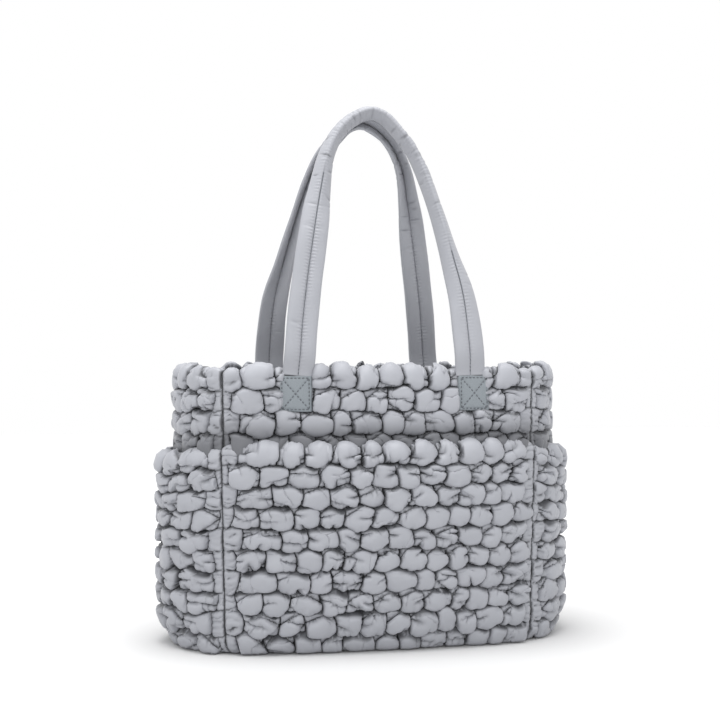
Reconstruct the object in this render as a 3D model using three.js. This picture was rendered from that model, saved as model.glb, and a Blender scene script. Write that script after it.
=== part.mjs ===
// A quilted puffer tote bag, in millimetres with +Z up.
// Five padded panels make the body, three padded pockets are sewn over them, and two padded
// strap handles rise from four stitched patches. The origin is the middle of the base's
// underside. The front faces -Y, and +X is to the right of someone facing the front.
import * as THREE from 'three';

// Body: the four corner seams stand at half width and half depth, and the panels bow out
// between them.
const RIM_HEIGHT = 297;
const BASE_HALF_WIDTH = 162;
const RIM_HALF_WIDTH = 169;
const HALF_DEPTH = 77;
const SEAM_GAP = 0.3;
const WALL = 2.4;
const TUCK_RADIUS = 14;
const TUCK_FLOOR = 2;
const TUCK_TOP = TUCK_FLOOR + TUCK_RADIUS;
const HEM_ANGLE = -64;
const BASE_THICKNESS = 4;
const BASE_GAP = 0.6;

// How far each panel bows out past its corner seams, at the base, halfway up and at the rim.
const FRONT_BOW = { base: 4, middle: 10, rim: 2 };
const GUSSET_BOW = { base: 38, middle: 36, rim: 35 };

// Quilting: rows of stuffed puffs, each row set along from the row below, like bricks.
const ROW_PITCH = 23.5;
const FRONT_PUFFS = 12;
const GUSSET_PUFFS = 6;
const COLUMNS_PER_PUFF = 3;
const BRICK_SHIFT = 1;
const PUFF_HEIGHT = 13;
const TUCKED_PUFF_HEIGHT = 9;
const ROW_VALLEY = 0.3;
const PUFF_VALLEY = 0.5;
const RIM_CROWN = 0.75;
const RIM_ROLL = 4;
const FRONT_QUILTED_ROWS = 3;
const GUSSET_QUILTED_ROWS = 4;
const HIDDEN_ROW_SHARE = 0.4;
const PLAIN_MARGIN = 4;
const LINING_COLUMN_STEP = 3;
const LINING_ROW_STEP = 4;

// Pockets: sewn into the corner seams and along the bottom, and held off the panel behind.
const POCKET_GAP = 0.4;
const POCKET_EDGE = 3;
const POCKET_FLARE = { from: -10, to: 40 };
const FRONT_POCKET = { mouth: 219, sag: 2, room: 13, rows: 9 };
const SIDE_POCKET = { mouth: 213, sag: 11, room: 17, rows: 9 };

// Handles: a strap of two padded channels, stitched along its middle and folded back along
// that stitching near the top, which presses its padding. The back one hangs a little lower.
const STRAP_WIDTH = 33;
const STRAP_FRONT = 4.6;
const STRAP_BACK = 3.8;
const STRAP_FOOT_HEIGHT = 290;
const STRAP_FOOT_CLEARANCE = 2;
const STRAP_SPREAD = 94;
const STRAP_SHIFT = 4;
const STRAP_STEPS = 32;
const HANDLE_RIDGE = 17;
const FRONT_DROP = 295;
const BACK_DROP = 286;
const FOLD_PRESS = 0.35;
const SEWN_DOWN_HEIGHT = 4;
const SEWN_DOWN_MARGIN = 10;
const SEWN_DOWN_FOOT = 246;

// Patches: the flat squares that are sewn over the foot of each strap.
const PATCH_HEIGHT = 38;
const PATCH_THICKNESS = 1.6;

// The strap's course, from its left foot to its right one. across is a share of the spread,
// rise a share of the handle's drop, and fold the angle that each half turns back.
const STRAP_COURSE = [
  { across: -1.0, rise: 0, fold: 0 },
  { across: -0.94, rise: 0.18, fold: 0 },
  { across: -0.87, rise: 0.33, fold: 2 },
  { across: -0.76, rise: 0.524, fold: 14 },
  { across: -0.66, rise: 0.684, fold: 44 },
  { across: -0.54, rise: 0.836, fold: 62 },
  { across: -0.37, rise: 0.928, fold: 66 },
  { across: -0.19, rise: 0.977, fold: 66 },
  { across: 0.0, rise: 1.0, fold: 66 },
  { across: 0.16, rise: 0.984, fold: 66 },
  { across: 0.3, rise: 0.938, fold: 66 },
  { across: 0.46, rise: 0.87, fold: 66 },
  { across: 0.6, rise: 0.768, fold: 66 },
  { across: 0.75, rise: 0.604, fold: 64 },
  { across: 0.865, rise: 0.444, fold: 50 },
  { across: 0.96, rise: 0.284, fold: 24 },
  { across: 1.0, rise: 0, fold: 0 },
];

// Half of the strap's section: along runs from the middle stitching to the edge as a share of
// the half width, and face is the padding's share in front (plus) or behind (minus).
const STRAP_HALF_SECTION = [
  { along: 0.24, face: 0.85 },
  { along: 0.52, face: 1.0 },
  { along: 0.8, face: 0.8 },
  { along: 1.0, face: 0.1 },
  { along: 0.8, face: -0.8 },
  { along: 0.52, face: -1.0 },
  { along: 0.24, face: -0.65 },
];
const STITCHED_FACE = 0.3;

const shell = new THREE.MeshStandardMaterial({ color: 0xb4b7c0, roughness: 0.55, metalness: 0 });
const strapShell = new THREE.MeshStandardMaterial({ color: 0xb6b8c1, roughness: 0.55, metalness: 0 });
const twill = new THREE.MeshStandardMaterial({ color: 0xa9b1b8, roughness: 0.85, metalness: 0 });
const underside = new THREE.MeshStandardMaterial({ color: 0x8d9098, roughness: 0.8, metalness: 0 });

const { lerp, degToRad, smoothstep } = THREE.MathUtils;

// A value given at the base, halfway up and at the rim, along the parabola through the three.
function bowAt(bow, z) {
  const t = z / RIM_HEIGHT;
  const straight = lerp(bow.base, bow.rim, t);
  const lift = bow.middle - (bow.base + bow.rim) / 2;
  return straight + lift * 4 * t * (1 - t);
}

const halfWidthAt = (z) => lerp(BASE_HALF_WIDTH, RIM_HALF_WIDTH, z / RIM_HEIGHT);
const arch = (u) => 4 * u * (1 - u);

// The four sides share one frame in which the panel faces -Y; turn sets it round the bag.
const FRONT_SIDE = {
  halfLength: halfWidthAt, standOff: () => HALF_DEPTH, bow: FRONT_BOW, puffs: FRONT_PUFFS,
};
const GUSSET_SIDE = {
  halfLength: () => HALF_DEPTH, standOff: halfWidthAt, bow: GUSSET_BOW, puffs: GUSSET_PUFFS,
};
const SIDES = {
  front: { ...FRONT_SIDE, turn: 0 },
  right: { ...GUSSET_SIDE, turn: Math.PI / 2 },
  back: { ...FRONT_SIDE, turn: Math.PI },
  left: { ...GUSSET_SIDE, turn: -Math.PI / 2 },
};

// A point on a side: u runs along it from seam to seam, out is the distance outside the
// corner seams, mitred so that neighbouring sides meet, and extra adds to the side's bow.
function sidePoint(side, u, out, z, extra = 0) {
  const reach = side.halfLength(z) + out - SEAM_GAP / 2;
  const away = side.standOff(z) + out + (bowAt(side.bow, z) + extra) * arch(u);
  return new THREE.Vector3(lerp(-reach, reach, u), -away, z);
}

// A section is one level line of a panel: out and z place it, tilt is the direction that its
// skin faces in degrees above the horizon, relief is the height of its puffs, row is the puff
// row that it crosses the middle of, or null between rows, and fades thins it at the seams.
function tuckSection(angle, radius, relief, row) {
  const a = degToRad(angle);
  const out = -TUCK_RADIUS + radius * Math.cos(a);
  const z = TUCK_TOP + radius * Math.sin(a);
  return { out, z, tilt: angle, relief, row };
}

function quiltSections(low, high, rows, out, firstRow) {
  const pitch = (high - low) / rows;
  const sections = [];
  for (let r = 0; r < rows; r += 1) {
    const z = low + r * pitch;
    sections.push({ out, z, tilt: 0, relief: PUFF_HEIGHT * ROW_VALLEY, row: null });
    sections.push({ out, z: z + pitch / 2, tilt: 0, relief: PUFF_HEIGHT, row: firstRow + r });
  }
  return sections;
}

// The puffs of the top row close over the edge that they reach.
function rimSections(height, out, row) {
  return [
    { out, z: height - RIM_ROLL, tilt: 35, relief: PUFF_HEIGHT * RIM_CROWN, row },
    { out: out - WALL / 2, z: height, tilt: 80, relief: PUFF_HEIGHT * ROW_VALLEY, row: null },
  ];
}

// Along a row each puff is a short ridge with a hollow beside it, and the seams lie flat.
function reliefShare(column, columns, row) {
  if (column === 0 || column === columns) return 0;
  if (row === null) return 1;
  const place = (column + (row % 2) * BRICK_SHIFT) % COLUMNS_PER_PUFF;
  return place === 0 ? PUFF_VALLEY : 1;
}

// The numbers from 0 to last that a test keeps, always with both ends.
function keptLines(last, test) {
  const all = Array.from({ length: last + 1 }, (_, k) => k);
  return all.filter((k) => k === 0 || k === last || test(k));
}

// A closed solid between an outer skin and a coarser inner skin. Both are functions of a
// column and a row, seen from outside with columns to the right and rows upwards. The inner
// skin has only the kept columns and rows, and fans of triangles close the four edges.
function paddedSolid(outer, inner, keptColumns, keptRows) {
  const columns = keptColumns.at(-1);
  const rows = keptRows.at(-1);
  const points = [];
  const index = [];
  for (let j = 0; j <= rows; j += 1) {
    for (let i = 0; i <= columns; i += 1) points.push(outer(i, j));
  }
  const innerStart = points.length;
  for (const j of keptRows) {
    for (const i of keptColumns) points.push(inner(i, j));
  }
  const outerId = (i, j) => j * (columns + 1) + i;
  const innerId = (a, b) => innerStart + b * keptColumns.length + a;
  const stand = (p, q) => -points[p].y - points[q].y;

  // Each outer cell is split along the diagonal that stands further out, to keep puffs full.
  for (let j = 0; j < rows; j += 1) {
    for (let i = 0; i < columns; i += 1) {
      const [a, b] = [outerId(i, j), outerId(i + 1, j)];
      const [c, d] = [outerId(i + 1, j + 1), outerId(i, j + 1)];
      if (stand(a, c) > stand(b, d)) index.push(a, b, c, a, c, d);
      else index.push(a, b, d, b, c, d);
    }
  }
  for (let b = 0; b < keptRows.length - 1; b += 1) {
    for (let a = 0; a < keptColumns.length - 1; a += 1) {
      const [p, q] = [innerId(a, b), innerId(a + 1, b)];
      const [r, s] = [innerId(a + 1, b + 1), innerId(a, b + 1)];
      index.push(p, r, q, p, s, r);
    }
  }

  // The edges run clockwise as seen from outside: along the bottom, up, over and down.
  const lastA = keptColumns.length - 1;
  const lastB = keptRows.length - 1;
  const closeEdge = (kept, outerAt, innerAt) => {
    for (let k = 0; k < kept.length - 1; k += 1) {
      for (let m = kept[k]; m < kept[k + 1]; m += 1) {
        index.push(outerAt(m), outerAt(m + 1), innerAt(k));
      }
      index.push(outerAt(kept[k + 1]), innerAt(k + 1), innerAt(k));
    }
  };
  const backwards = (kept) => kept.map((k) => kept.at(-1) - k).reverse();
  closeEdge(backwards(keptColumns), (m) => outerId(columns - m, 0), (k) => innerId(lastA - k, 0));
  closeEdge(keptRows, (m) => outerId(0, m), (k) => innerId(0, k));
  closeEdge(keptColumns, (m) => outerId(m, rows), (k) => innerId(k, lastB));
  closeEdge(backwards(keptRows), (m) => outerId(columns, rows - m), (k) => innerId(lastA, lastB - k));
  return solidGeometry(points, index);
}

function solidGeometry(points, index) {
  const geometry = new THREE.BufferGeometry().setFromPoints(points);
  geometry.setIndex(index);
  geometry.computeVertexNormals();
  return geometry;
}

// A padded panel on one side: its sections carry the quilting outwards, and the lining side
// lies one wall inside them. extraAt and dropAt hold a pocket off its panel and sag its mouth.
function paddedPanel(side, sections, { wall = WALL, extraAt = () => 0, dropAt = () => 0, press = null }) {
  const columns = side.puffs * COLUMNS_PER_PUFF;
  const skin = (i, j, height) => {
    const { out, z, tilt } = sections[j];
    const u = i / columns;
    const a = degToRad(tilt);
    const level = z + height * Math.sin(a) - dropAt(z) * arch(u);
    return sidePoint(side, u, out + height * Math.cos(a), level, extraAt(z));
  };
  const outer = (i, j) => {
    const { relief, row, z, fades } = sections[j];
    const u = i / columns;
    const height = relief * reliefShare(i, columns, row) * (fades ? arch(u) : 1);
    const x = lerp(-side.halfLength(z), side.halfLength(z), u);
    return skin(i, j, press && press(x, z) ? SEWN_DOWN_HEIGHT : height);
  };
  const inner = (i, j) => skin(i, j, -wall);
  const keptColumns = keptLines(columns, (i) => i % LINING_COLUMN_STEP === 0);
  const turns = (j) => sections[j].tilt !== 0 || sections[j - 1].tilt !== 0;
  const keptRows = keptLines(sections.length - 1, (j) => turns(j) || j % LINING_ROW_STEP === 0);
  return paddedSolid(outer, inner, keptColumns, keptRows);
}

// True where a strap or its patch holds the quilting down on the front or back panel.
function underStrap(x, z) {
  const reach = STRAP_WIDTH / 2 + SEWN_DOWN_MARGIN;
  const feet = [STRAP_SHIFT - STRAP_SPREAD, STRAP_SHIFT + STRAP_SPREAD];
  return z > SEWN_DOWN_FOOT && feet.some((foot) => Math.abs(x - foot) < reach);
}

// A body panel that a pocket covers is quilted only from the pocket's mouth up, and the row
// that the mouth hides in part is lower than the rest and fades towards the seams.
function coveredPanel(side, rows, lowestRowShare, press) {
  const low = RIM_HEIGHT - rows * ROW_PITCH;
  const quilting = quiltSections(low, RIM_HEIGHT, rows, 0, 0);
  for (const section of quilting.slice(0, 2)) {
    section.relief *= lowestRowShare;
    section.fades = lowestRowShare < 1;
  }
  const sections = [
    ...[-90, HEM_ANGLE, HEM_ANGLE / 2, 0].map((angle) => tuckSection(angle, TUCK_RADIUS, 0, null)),
    { out: 0, z: low / 2, tilt: 0, relief: 0, row: null },
    { out: 0, z: low - PLAIN_MARGIN, tilt: 0, relief: 0, row: null },
    ...quilting,
    ...rimSections(RIM_HEIGHT, 0, rows - 1),
  ];
  return paddedPanel(side, sections, { press });
}

const frontPanel = () => coveredPanel(SIDES.front, FRONT_QUILTED_ROWS, 1, underStrap);
const gusset = (side) => coveredPanel(side, GUSSET_QUILTED_ROWS, HIDDEN_ROW_SHARE, null);

// The back panel has no pocket, so its quilting runs from the tuck under the base to the rim.
function backPanel() {
  const rows = Math.round((RIM_HEIGHT - TUCK_TOP) / ROW_PITCH);
  const sections = [
    tuckSection(-90, TUCK_RADIUS, 0, null),
    tuckSection(HEM_ANGLE / 2, TUCK_RADIUS, TUCKED_PUFF_HEIGHT, 1),
    ...quiltSections(TUCK_TOP, RIM_HEIGHT, rows, 0, 0),
    ...rimSections(RIM_HEIGHT, 0, rows - 1),
  ];
  return paddedPanel(SIDES.back, sections, { press: underStrap });
}

// A pocket hugs the tuck of the panel behind it, then soon flares out to its whole room.
function pocket(side, { mouth, sag, room, rows }) {
  const hug = TUCK_RADIUS + POCKET_EDGE;
  const sections = [
    tuckSection(HEM_ANGLE, hug, 0, null),
    tuckSection(HEM_ANGLE / 2, hug, TUCKED_PUFF_HEIGHT, 1),
    ...quiltSections(TUCK_TOP, mouth, rows, POCKET_EDGE, 0),
    ...rimSections(mouth, POCKET_EDGE, rows - 1),
  ];
  return paddedPanel(side, sections, {
    wall: POCKET_EDGE - POCKET_GAP,
    extraAt: (z) => room * smoothstep(z, POCKET_FLARE.from, POCKET_FLARE.to),
    dropAt: (z) => sag * smoothstep(z, mouth / 2, mouth),
  });
}

// The base is a flat plate that fills the outline inside the tucked panels.
function basePlate() {
  const inset = -TUCK_RADIUS - BASE_GAP;
  const outline = [];
  for (const name of ['front', 'right', 'back', 'left']) {
    const spin = new THREE.Vector3(0, 0, 1);
    const steps = SIDES[name].puffs;
    for (let k = 0; k < steps; k += 1) {
      const p = sidePoint(SIDES[name], k / steps, inset, 0);
      p.applyAxisAngle(spin, SIDES[name].turn);
      outline.push(new THREE.Vector2(p.x, p.y));
    }
  }
  const settings = { depth: BASE_THICKNESS, bevelEnabled: false };
  const extruded = new THREE.ExtrudeGeometry(new THREE.Shape(outline), settings);
  return weld(extruded);
}

// Keeps only the positions of a geometry and joins the vertices that coincide.
function weld(geometry) {
  const found = new Map();
  const points = [];
  const index = [];
  const position = geometry.getAttribute('position');
  for (let k = 0; k < position.count; k += 1) {
    const p = new THREE.Vector3().fromBufferAttribute(position, k);
    const key = `${p.x.toFixed(4)},${p.y.toFixed(4)},${p.z.toFixed(4)}`;
    if (!found.has(key)) {
      found.set(key, points.length);
      points.push(p);
    }
    index.push(found.get(key));
  }
  return solidGeometry(points, index);
}

// Where a strap's foot stands on the front panel, out from the sewn-down quilting.
function footPoint(x, out, z) {
  const side = SIDES.front;
  const u = 0.5 + x / (2 * side.halfLength(z));
  return sidePoint(side, u, SEWN_DOWN_HEIGHT + SEAM_GAP + out, z);
}

// A patch lies on the sewn-down quilting under one foot of a strap.
function patch(foot) {
  const cells = 2;
  const top = STRAP_FOOT_HEIGHT - SEAM_GAP;
  const skin = (out) => (i, j) => {
    const x = foot + STRAP_WIDTH * (i / cells - 0.5);
    return footPoint(x, out, top - PATCH_HEIGHT * (1 - j / cells));
  };
  const every = keptLines(cells, () => true);
  return paddedSolid(skin(PATCH_THICKNESS), skin(0), every, every);
}

// The strap's section with both halves folded back about the middle stitching. across points
// to the inside of the handle's arch, and face points out of the strap's front.
function strapSection(fold) {
  const a = degToRad(fold);
  const half = STRAP_WIDTH / 2;
  const side = (sign, { along, face }) => {
    const r = along * half;
    const t = face * (face > 0 ? STRAP_FRONT : STRAP_BACK) * (1 - FOLD_PRESS * Math.sin(a));
    return {
      across: sign * (r * Math.cos(a) + t * Math.sin(a)),
      face: t * Math.cos(a) - r * Math.sin(a),
    };
  };
  const outerHalf = STRAP_HALF_SECTION.map((p) => side(-1, p));
  const innerHalf = STRAP_HALF_SECTION.map((p) => side(1, p)).reverse();
  return [
    { across: 0, face: STITCHED_FACE * STRAP_FRONT },
    ...outerHalf,
    { across: 0, face: -STITCHED_FACE * STRAP_BACK },
    ...innerHalf,
  ];
}

// A handle of the front panel: its course leans back from the panel to a ridge beside the
// bag's middle plane, so the whole arch lies in one leaning plane.
function handle(drop) {
  const behind = STRAP_BACK + STRAP_FOOT_CLEARANCE;
  const footDepth = -footPoint(STRAP_SPREAD, behind, STRAP_FOOT_HEIGHT).y;
  const lean = new THREE.Vector3(0, footDepth - HANDLE_RIDGE, drop);
  const course = new THREE.CatmullRomCurve3(STRAP_COURSE.map(({ across, rise }) => new THREE.Vector3(
    STRAP_SHIFT + across * STRAP_SPREAD, -footDepth, STRAP_FOOT_HEIGHT,
  ).addScaledVector(lean, rise)), false, 'centripetal');
  const face = new THREE.Vector3(0, -lean.z, lean.y).normalize();
  const points = [];
  const sides = strapSection(0).length;
  for (let k = 0; k <= STRAP_STEPS; k += 1) {
    const t = k / STRAP_STEPS;
    const place = course.getPoint(t);
    const along = course.getTangent(t);
    const across = new THREE.Vector3().crossVectors(along, face);
    for (const p of strapSection(foldAt(t))) {
      points.push(place.clone().addScaledVector(across, p.across).addScaledVector(face, p.face));
    }
  }
  return loft(points, sides);
}

// The fold at a share of the course, between the table's rows.
function foldAt(t) {
  const place = t * (STRAP_COURSE.length - 1);
  const row = Math.min(Math.floor(place), STRAP_COURSE.length - 2);
  return lerp(STRAP_COURSE[row].fold, STRAP_COURSE[row + 1].fold, place - row);
}

// A closed solid through rings of points that all have the same number of sides.
function loft(points, sides) {
  const rings = points.length / sides;
  const index = [];
  for (let k = 0; k < rings - 1; k += 1) {
    for (let s = 0; s < sides; s += 1) {
      const next = (s + 1) % sides;
      const [a, b] = [k * sides + s, k * sides + next];
      index.push(a, a + sides, b, b, a + sides, b + sides);
    }
  }
  const flat = strapSection(0).map((p) => new THREE.Vector2(p.across, p.face));
  const last = (rings - 1) * sides;
  for (const [a, b, c] of THREE.ShapeUtils.triangulateShape(flat, [])) {
    index.push(a, b, c, last + a, last + c, last + b);
  }
  return solidGeometry(points, index);
}

function named(name, geometry, material, turn = 0) {
  const mesh = new THREE.Mesh(geometry, material);
  mesh.name = name;
  mesh.rotation.z = turn;
  return mesh;
}

// The patches and the handle of one side, sharing that side's turn.
function handleSet(name, drop, turn) {
  const set = new THREE.Group();
  set.rotation.z = turn;
  set.add(named(`${name}_handle`, handle(drop), strapShell));
  set.add(named(`${name}_left_patch`, patch(STRAP_SHIFT - STRAP_SPREAD), twill));
  set.add(named(`${name}_right_patch`, patch(STRAP_SHIFT + STRAP_SPREAD), twill));
  return set;
}

const body = new THREE.Group();
body.add(named('front_panel', frontPanel(), shell, SIDES.front.turn));
body.add(named('back_panel', backPanel(), shell, SIDES.back.turn));
body.add(named('left_gusset', gusset(SIDES.left), shell, SIDES.left.turn));
body.add(named('right_gusset', gusset(SIDES.right), shell, SIDES.right.turn));
body.add(named('base_panel', basePlate(), underside));

const pockets = new THREE.Group();
pockets.add(named('front_pocket', pocket(SIDES.front, FRONT_POCKET), shell, SIDES.front.turn));
pockets.add(named('left_pocket', pocket(SIDES.left, SIDE_POCKET), shell, SIDES.left.turn));
pockets.add(named('right_pocket', pocket(SIDES.right, SIDE_POCKET), shell, SIDES.right.turn));

const tote = new THREE.Group();
tote.add(body, pockets);
tote.add(handleSet('front', FRONT_DROP, SIDES.front.turn));
tote.add(handleSet('back', BACK_DROP, SIDES.back.turn));

export default tote;
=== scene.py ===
# %% [markdown]
# # A quilted tote bag
# The bag is nylon, stuffed and stitched into rows of puffs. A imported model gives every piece
# its size and place; this lesson replaces its plain solids with cloth, piece by piece.
# Lengths are in millimetres until a mesh is made, because the bag's maker would measure so.

# %% Load the fixed frame
import math
from types import SimpleNamespace

import bpy
import numpy as np
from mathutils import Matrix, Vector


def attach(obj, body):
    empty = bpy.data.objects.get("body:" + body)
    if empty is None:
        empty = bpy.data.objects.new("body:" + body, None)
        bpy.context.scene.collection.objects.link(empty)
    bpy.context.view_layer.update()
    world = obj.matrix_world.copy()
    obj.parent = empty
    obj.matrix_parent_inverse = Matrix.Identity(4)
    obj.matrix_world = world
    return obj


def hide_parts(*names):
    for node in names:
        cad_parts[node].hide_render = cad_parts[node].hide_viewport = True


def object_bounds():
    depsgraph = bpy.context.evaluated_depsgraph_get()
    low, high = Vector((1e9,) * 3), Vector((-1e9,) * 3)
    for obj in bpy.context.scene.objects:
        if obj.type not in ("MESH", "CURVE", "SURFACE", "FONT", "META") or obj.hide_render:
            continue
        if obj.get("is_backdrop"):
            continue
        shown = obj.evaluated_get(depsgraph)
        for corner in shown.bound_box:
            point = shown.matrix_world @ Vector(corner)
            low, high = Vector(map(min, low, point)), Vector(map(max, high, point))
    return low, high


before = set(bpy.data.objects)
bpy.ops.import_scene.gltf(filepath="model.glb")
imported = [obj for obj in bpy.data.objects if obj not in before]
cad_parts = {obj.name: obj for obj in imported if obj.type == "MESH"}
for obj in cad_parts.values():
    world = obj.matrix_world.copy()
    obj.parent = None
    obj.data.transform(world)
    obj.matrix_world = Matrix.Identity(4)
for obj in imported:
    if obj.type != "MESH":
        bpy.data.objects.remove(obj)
cad_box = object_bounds()
METRES = 0.001
print("frame nodes:", len(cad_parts))

# %% [markdown]
# ## The camera
# The photograph was taken level with the rim of the bag, from a little to the left of the
# front. A long lens far away keeps the rows of puffs nearly parallel. The camera's place was
# worked out from the corner seams, the rim and the bottom edge.

# %% Camera
CAMERA_YAW = math.radians(11.9)
CAMERA_DISTANCE = 1476.5
CAMERA_ASIDE = -6.0
CAMERA_HEIGHT = 309.0
SENSOR_WIDTH = 36.0
PHOTO_PIXELS = 720
FOCAL_PIXELS = 1314.8
HORIZON_PIXELS = 357.2

camera_data = bpy.data.cameras.new("photo_camera")
camera_data.sensor_width = SENSOR_WIDTH
camera_data.lens = SENSOR_WIDTH * (FOCAL_PIXELS / PHOTO_PIXELS)
camera_data.shift_y = (HORIZON_PIXELS - PHOTO_PIXELS / 2) / PHOTO_PIXELS
camera = bpy.data.objects.new("photo_camera", camera_data)
camera.location = (
    METRES * (CAMERA_ASIDE * math.cos(CAMERA_YAW) - CAMERA_DISTANCE * math.sin(CAMERA_YAW)),
    METRES * (-CAMERA_ASIDE * math.sin(CAMERA_YAW) - CAMERA_DISTANCE * math.cos(CAMERA_YAW)),
    METRES * CAMERA_HEIGHT,
)
camera.rotation_euler = (math.radians(90), 0, -CAMERA_YAW)
bpy.context.collection.objects.link(camera)
bpy.context.scene.camera = camera
print("camera lens in mm:", round(camera_data.lens, 1))

# %% [markdown]
# ## The four sides
# Seen from above, the bag is a box whose walls bow out between four corner seams. Each side
# is described once, facing the viewer, and then turned round the bag. A point on a side is
# given by u, its share of the way from seam to seam, by its distance out from the seams, and
# by its height. The sizes are those of the frame's panels.

# %% Sides of the bag
RIM_HEIGHT = 297.0
BASE_HALF_WIDTH = 162.0
RIM_HALF_WIDTH = 169.0
HALF_DEPTH = 77.0
SEAM_GAP = 0.3
FRONT_BOW = (4.0, 10.0, 2.0)
GUSSET_BOW = (38.0, 36.0, 35.0)


def half_width(z):
    """Half the bag's width at height z: a straight taper from the base to the rim."""
    return BASE_HALF_WIDTH + (RIM_HALF_WIDTH - BASE_HALF_WIDTH) * z / RIM_HEIGHT


def bow_at(bow, z):
    """How far a side bows out at height z: the parabola through base, middle and rim."""
    t = z / RIM_HEIGHT
    base, middle, rim = bow
    return base + (rim - base) * t + (middle - (base + rim) / 2) * 4 * t * (1 - t)


def arch(u):
    """A parabola over 0 to 1 that is 0 at both ends and 1 in the middle."""
    return 4 * u * (1 - u)


def rise(z, low, high):
    """A smooth step from 0 at low to 1 at high."""
    t = np.clip((z - low) / (high - low), 0, 1)
    return t * t * (3 - 2 * t)


SIDES = {
    "front": {"turn": 0.0, "long": True},
    "right": {"turn": math.pi / 2, "long": False},
    "back": {"turn": math.pi, "long": True},
    "left": {"turn": -math.pi / 2, "long": False},
}


def side_point(side, u, out, z, extra):
    """A point on a side: straight between the mitred corners, plus the bow times an arch,
    turned about the upright axis to where the side stands."""
    width = half_width(z)
    reach, stand = (width, HALF_DEPTH) if side["long"] else (HALF_DEPTH + 0 * z, width)
    bow = bow_at(FRONT_BOW if side["long"] else GUSSET_BOW, z)
    x = (2 * u - 1) * (reach + out - SEAM_GAP / 2)
    y = -(stand + out + (bow + extra) * arch(u))
    c, s = math.cos(side["turn"]), math.sin(side["turn"])
    return np.stack([c * x - s * y, s * x + c * y, z + 0 * x])


# %% [markdown]
# ## How a puff is sewn
# A puff is a square of nylon that is larger than the patch it is stitched down to, with
# filling behind it. The layout below draws the stitch lines on a flat sheet: wavy rows, and
# in each row short upright lines that stand like the joints of a brick wall. A narrow strip
# beside each corner seam is gathered instead. No two puffs are alike, so the lines lean and
# shift by seeded random amounts.

# %% Stitch layout
# Lengths are in mm. Shifts and stretches are shares of a puff, and leans are mm aside per mm.
CLOTH_STEP = 1.1
SEAM_STRIP = 9.0
LINE_SHIFT = 0.12
LINE_LEAN = 0.24
CONTACT_LEAN = (-0.1, 0.3)
LINE_SWELL = (0.4, 3.4)
END_STRETCH = 0.24
NO_LINE = 1e6
LAYOUT_SAMPLES = 201


def between_strips(t, width, gradient):
    """Places between the two seam strips, at the shares t + gradient * t * (1 - t) of the way."""
    return SEAM_STRIP + (width - 2 * SEAM_STRIP) * (t + gradient * t * (1 - t))


def stitch_layout(width, row_lines, count, gradient, rng):
    """Tables of stitch lines. Upright lines stand at even shares of the way between the two seam
    strips, half a puff further on in every other row."""
    rows = len(row_lines) - 1
    shape = (rows, count + 4)
    even = np.linspace(0, 1, LAYOUT_SAMPLES)
    layout = {
        "row": np.array(row_lines, float),
        "wave": np.ones(rows + 1),
        "phase": rng.uniform(0, 2 * np.pi, (rows + 1, 3)),
        "count": count,
        "x": np.full(shape, NO_LINE),
        "last": np.zeros(rows, int),
        "lean": rng.uniform(-LINE_LEAN, LINE_LEAN, shape),
        "contact": rng.uniform(*CONTACT_LEAN, shape),
        "swell": rng.uniform(*LINE_SWELL, shape),
        "even": even,
        "even_x": between_strips(even, width, gradient),
    }
    layout["wave"][[0, -1]] = 0
    for r in range(rows):
        t = np.arange(count + 1.0)
        if r % 2:
            t = t[:-1] + 0.5
            t[0] -= END_STRETCH
            t[-1] += END_STRETCH
        t = (t + rng.uniform(-LINE_SHIFT, LINE_SHIFT, len(t))) / count
        x = np.concatenate([[0], between_strips(t, width, gradient), [width]])
        layout["x"][r, : len(x)] = x
        layout["last"][r] = len(x) - 2
        for key in ("lean", "contact", "swell"):
            layout[key][r, [0, len(x) - 1]] = 0
    return layout


# %% [markdown]
# A stitched line is never straight, because the filling on both sides pulls it about. An upright
# line leans and bulges to the right. A row line waves, and dips where a puff above it sits between
# two puffs below, as in a wall of sandbags. Both are formulas, so a whole sheet is one array.

# %% Course of the stitch lines
# Depths and lengths are in mm. A droop is mm of height for each mm that a puff stands out.
SWELL_LEAST = -0.5
ROW_SCALLOP = 1.5
SCALLOP_MEAN = 0.75
SCALLOP_CHANGE = 0.45
SCALLOP_LENGTH = 33
ROW_WAVE = 1.2
ROW_WAVE_LENGTH = 71
UNEVEN_SHARE = 0.6
UNEVEN_LENGTH = 19
ROW_DROOP = -0.4
DROOP_CHANGE = 0.15
DROOP_LENGTH = 53


def upright_line(layout, r, j, lift):
    """Place of upright line j of row r at a height above the row's middle. The line leans, and a
    parabola pushes its middle to the right, where each puff swells over the next."""
    half = 0.5 * (layout["row"][r + 1] - layout["row"][r])
    swell = layout["swell"][r, j] * np.maximum(1 - (lift / half) ** 2, SWELL_LEAST)
    return layout["x"][r, j] + layout["lean"][r, j] * lift + swell


def row_height(layout, r, x):
    """Height of row line r at x: its level, a slow and a short wave, and a scallop that dips in the
    middle of each puff above it, where two puffs below it meet."""
    phase = layout["phase"][r]
    place = 2 * np.pi * layout["count"] * np.interp(x, layout["even_x"], layout["even"])
    change = SCALLOP_CHANGE * np.sin(x / SCALLOP_LENGTH + phase[..., 1])
    scallop = ROW_SCALLOP * (SCALLOP_MEAN + change) * np.cos(place) * np.where(r % 2, -1, 1)
    slow = ROW_WAVE * np.sin(2 * np.pi * x / ROW_WAVE_LENGTH + phase[..., 0])
    uneven = UNEVEN_SHARE * ROW_WAVE * np.sin(2 * np.pi * x / UNEVEN_LENGTH + phase[..., 1])
    return layout["row"][r] + layout["wave"][r] * (scallop + slow + uneven)


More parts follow.
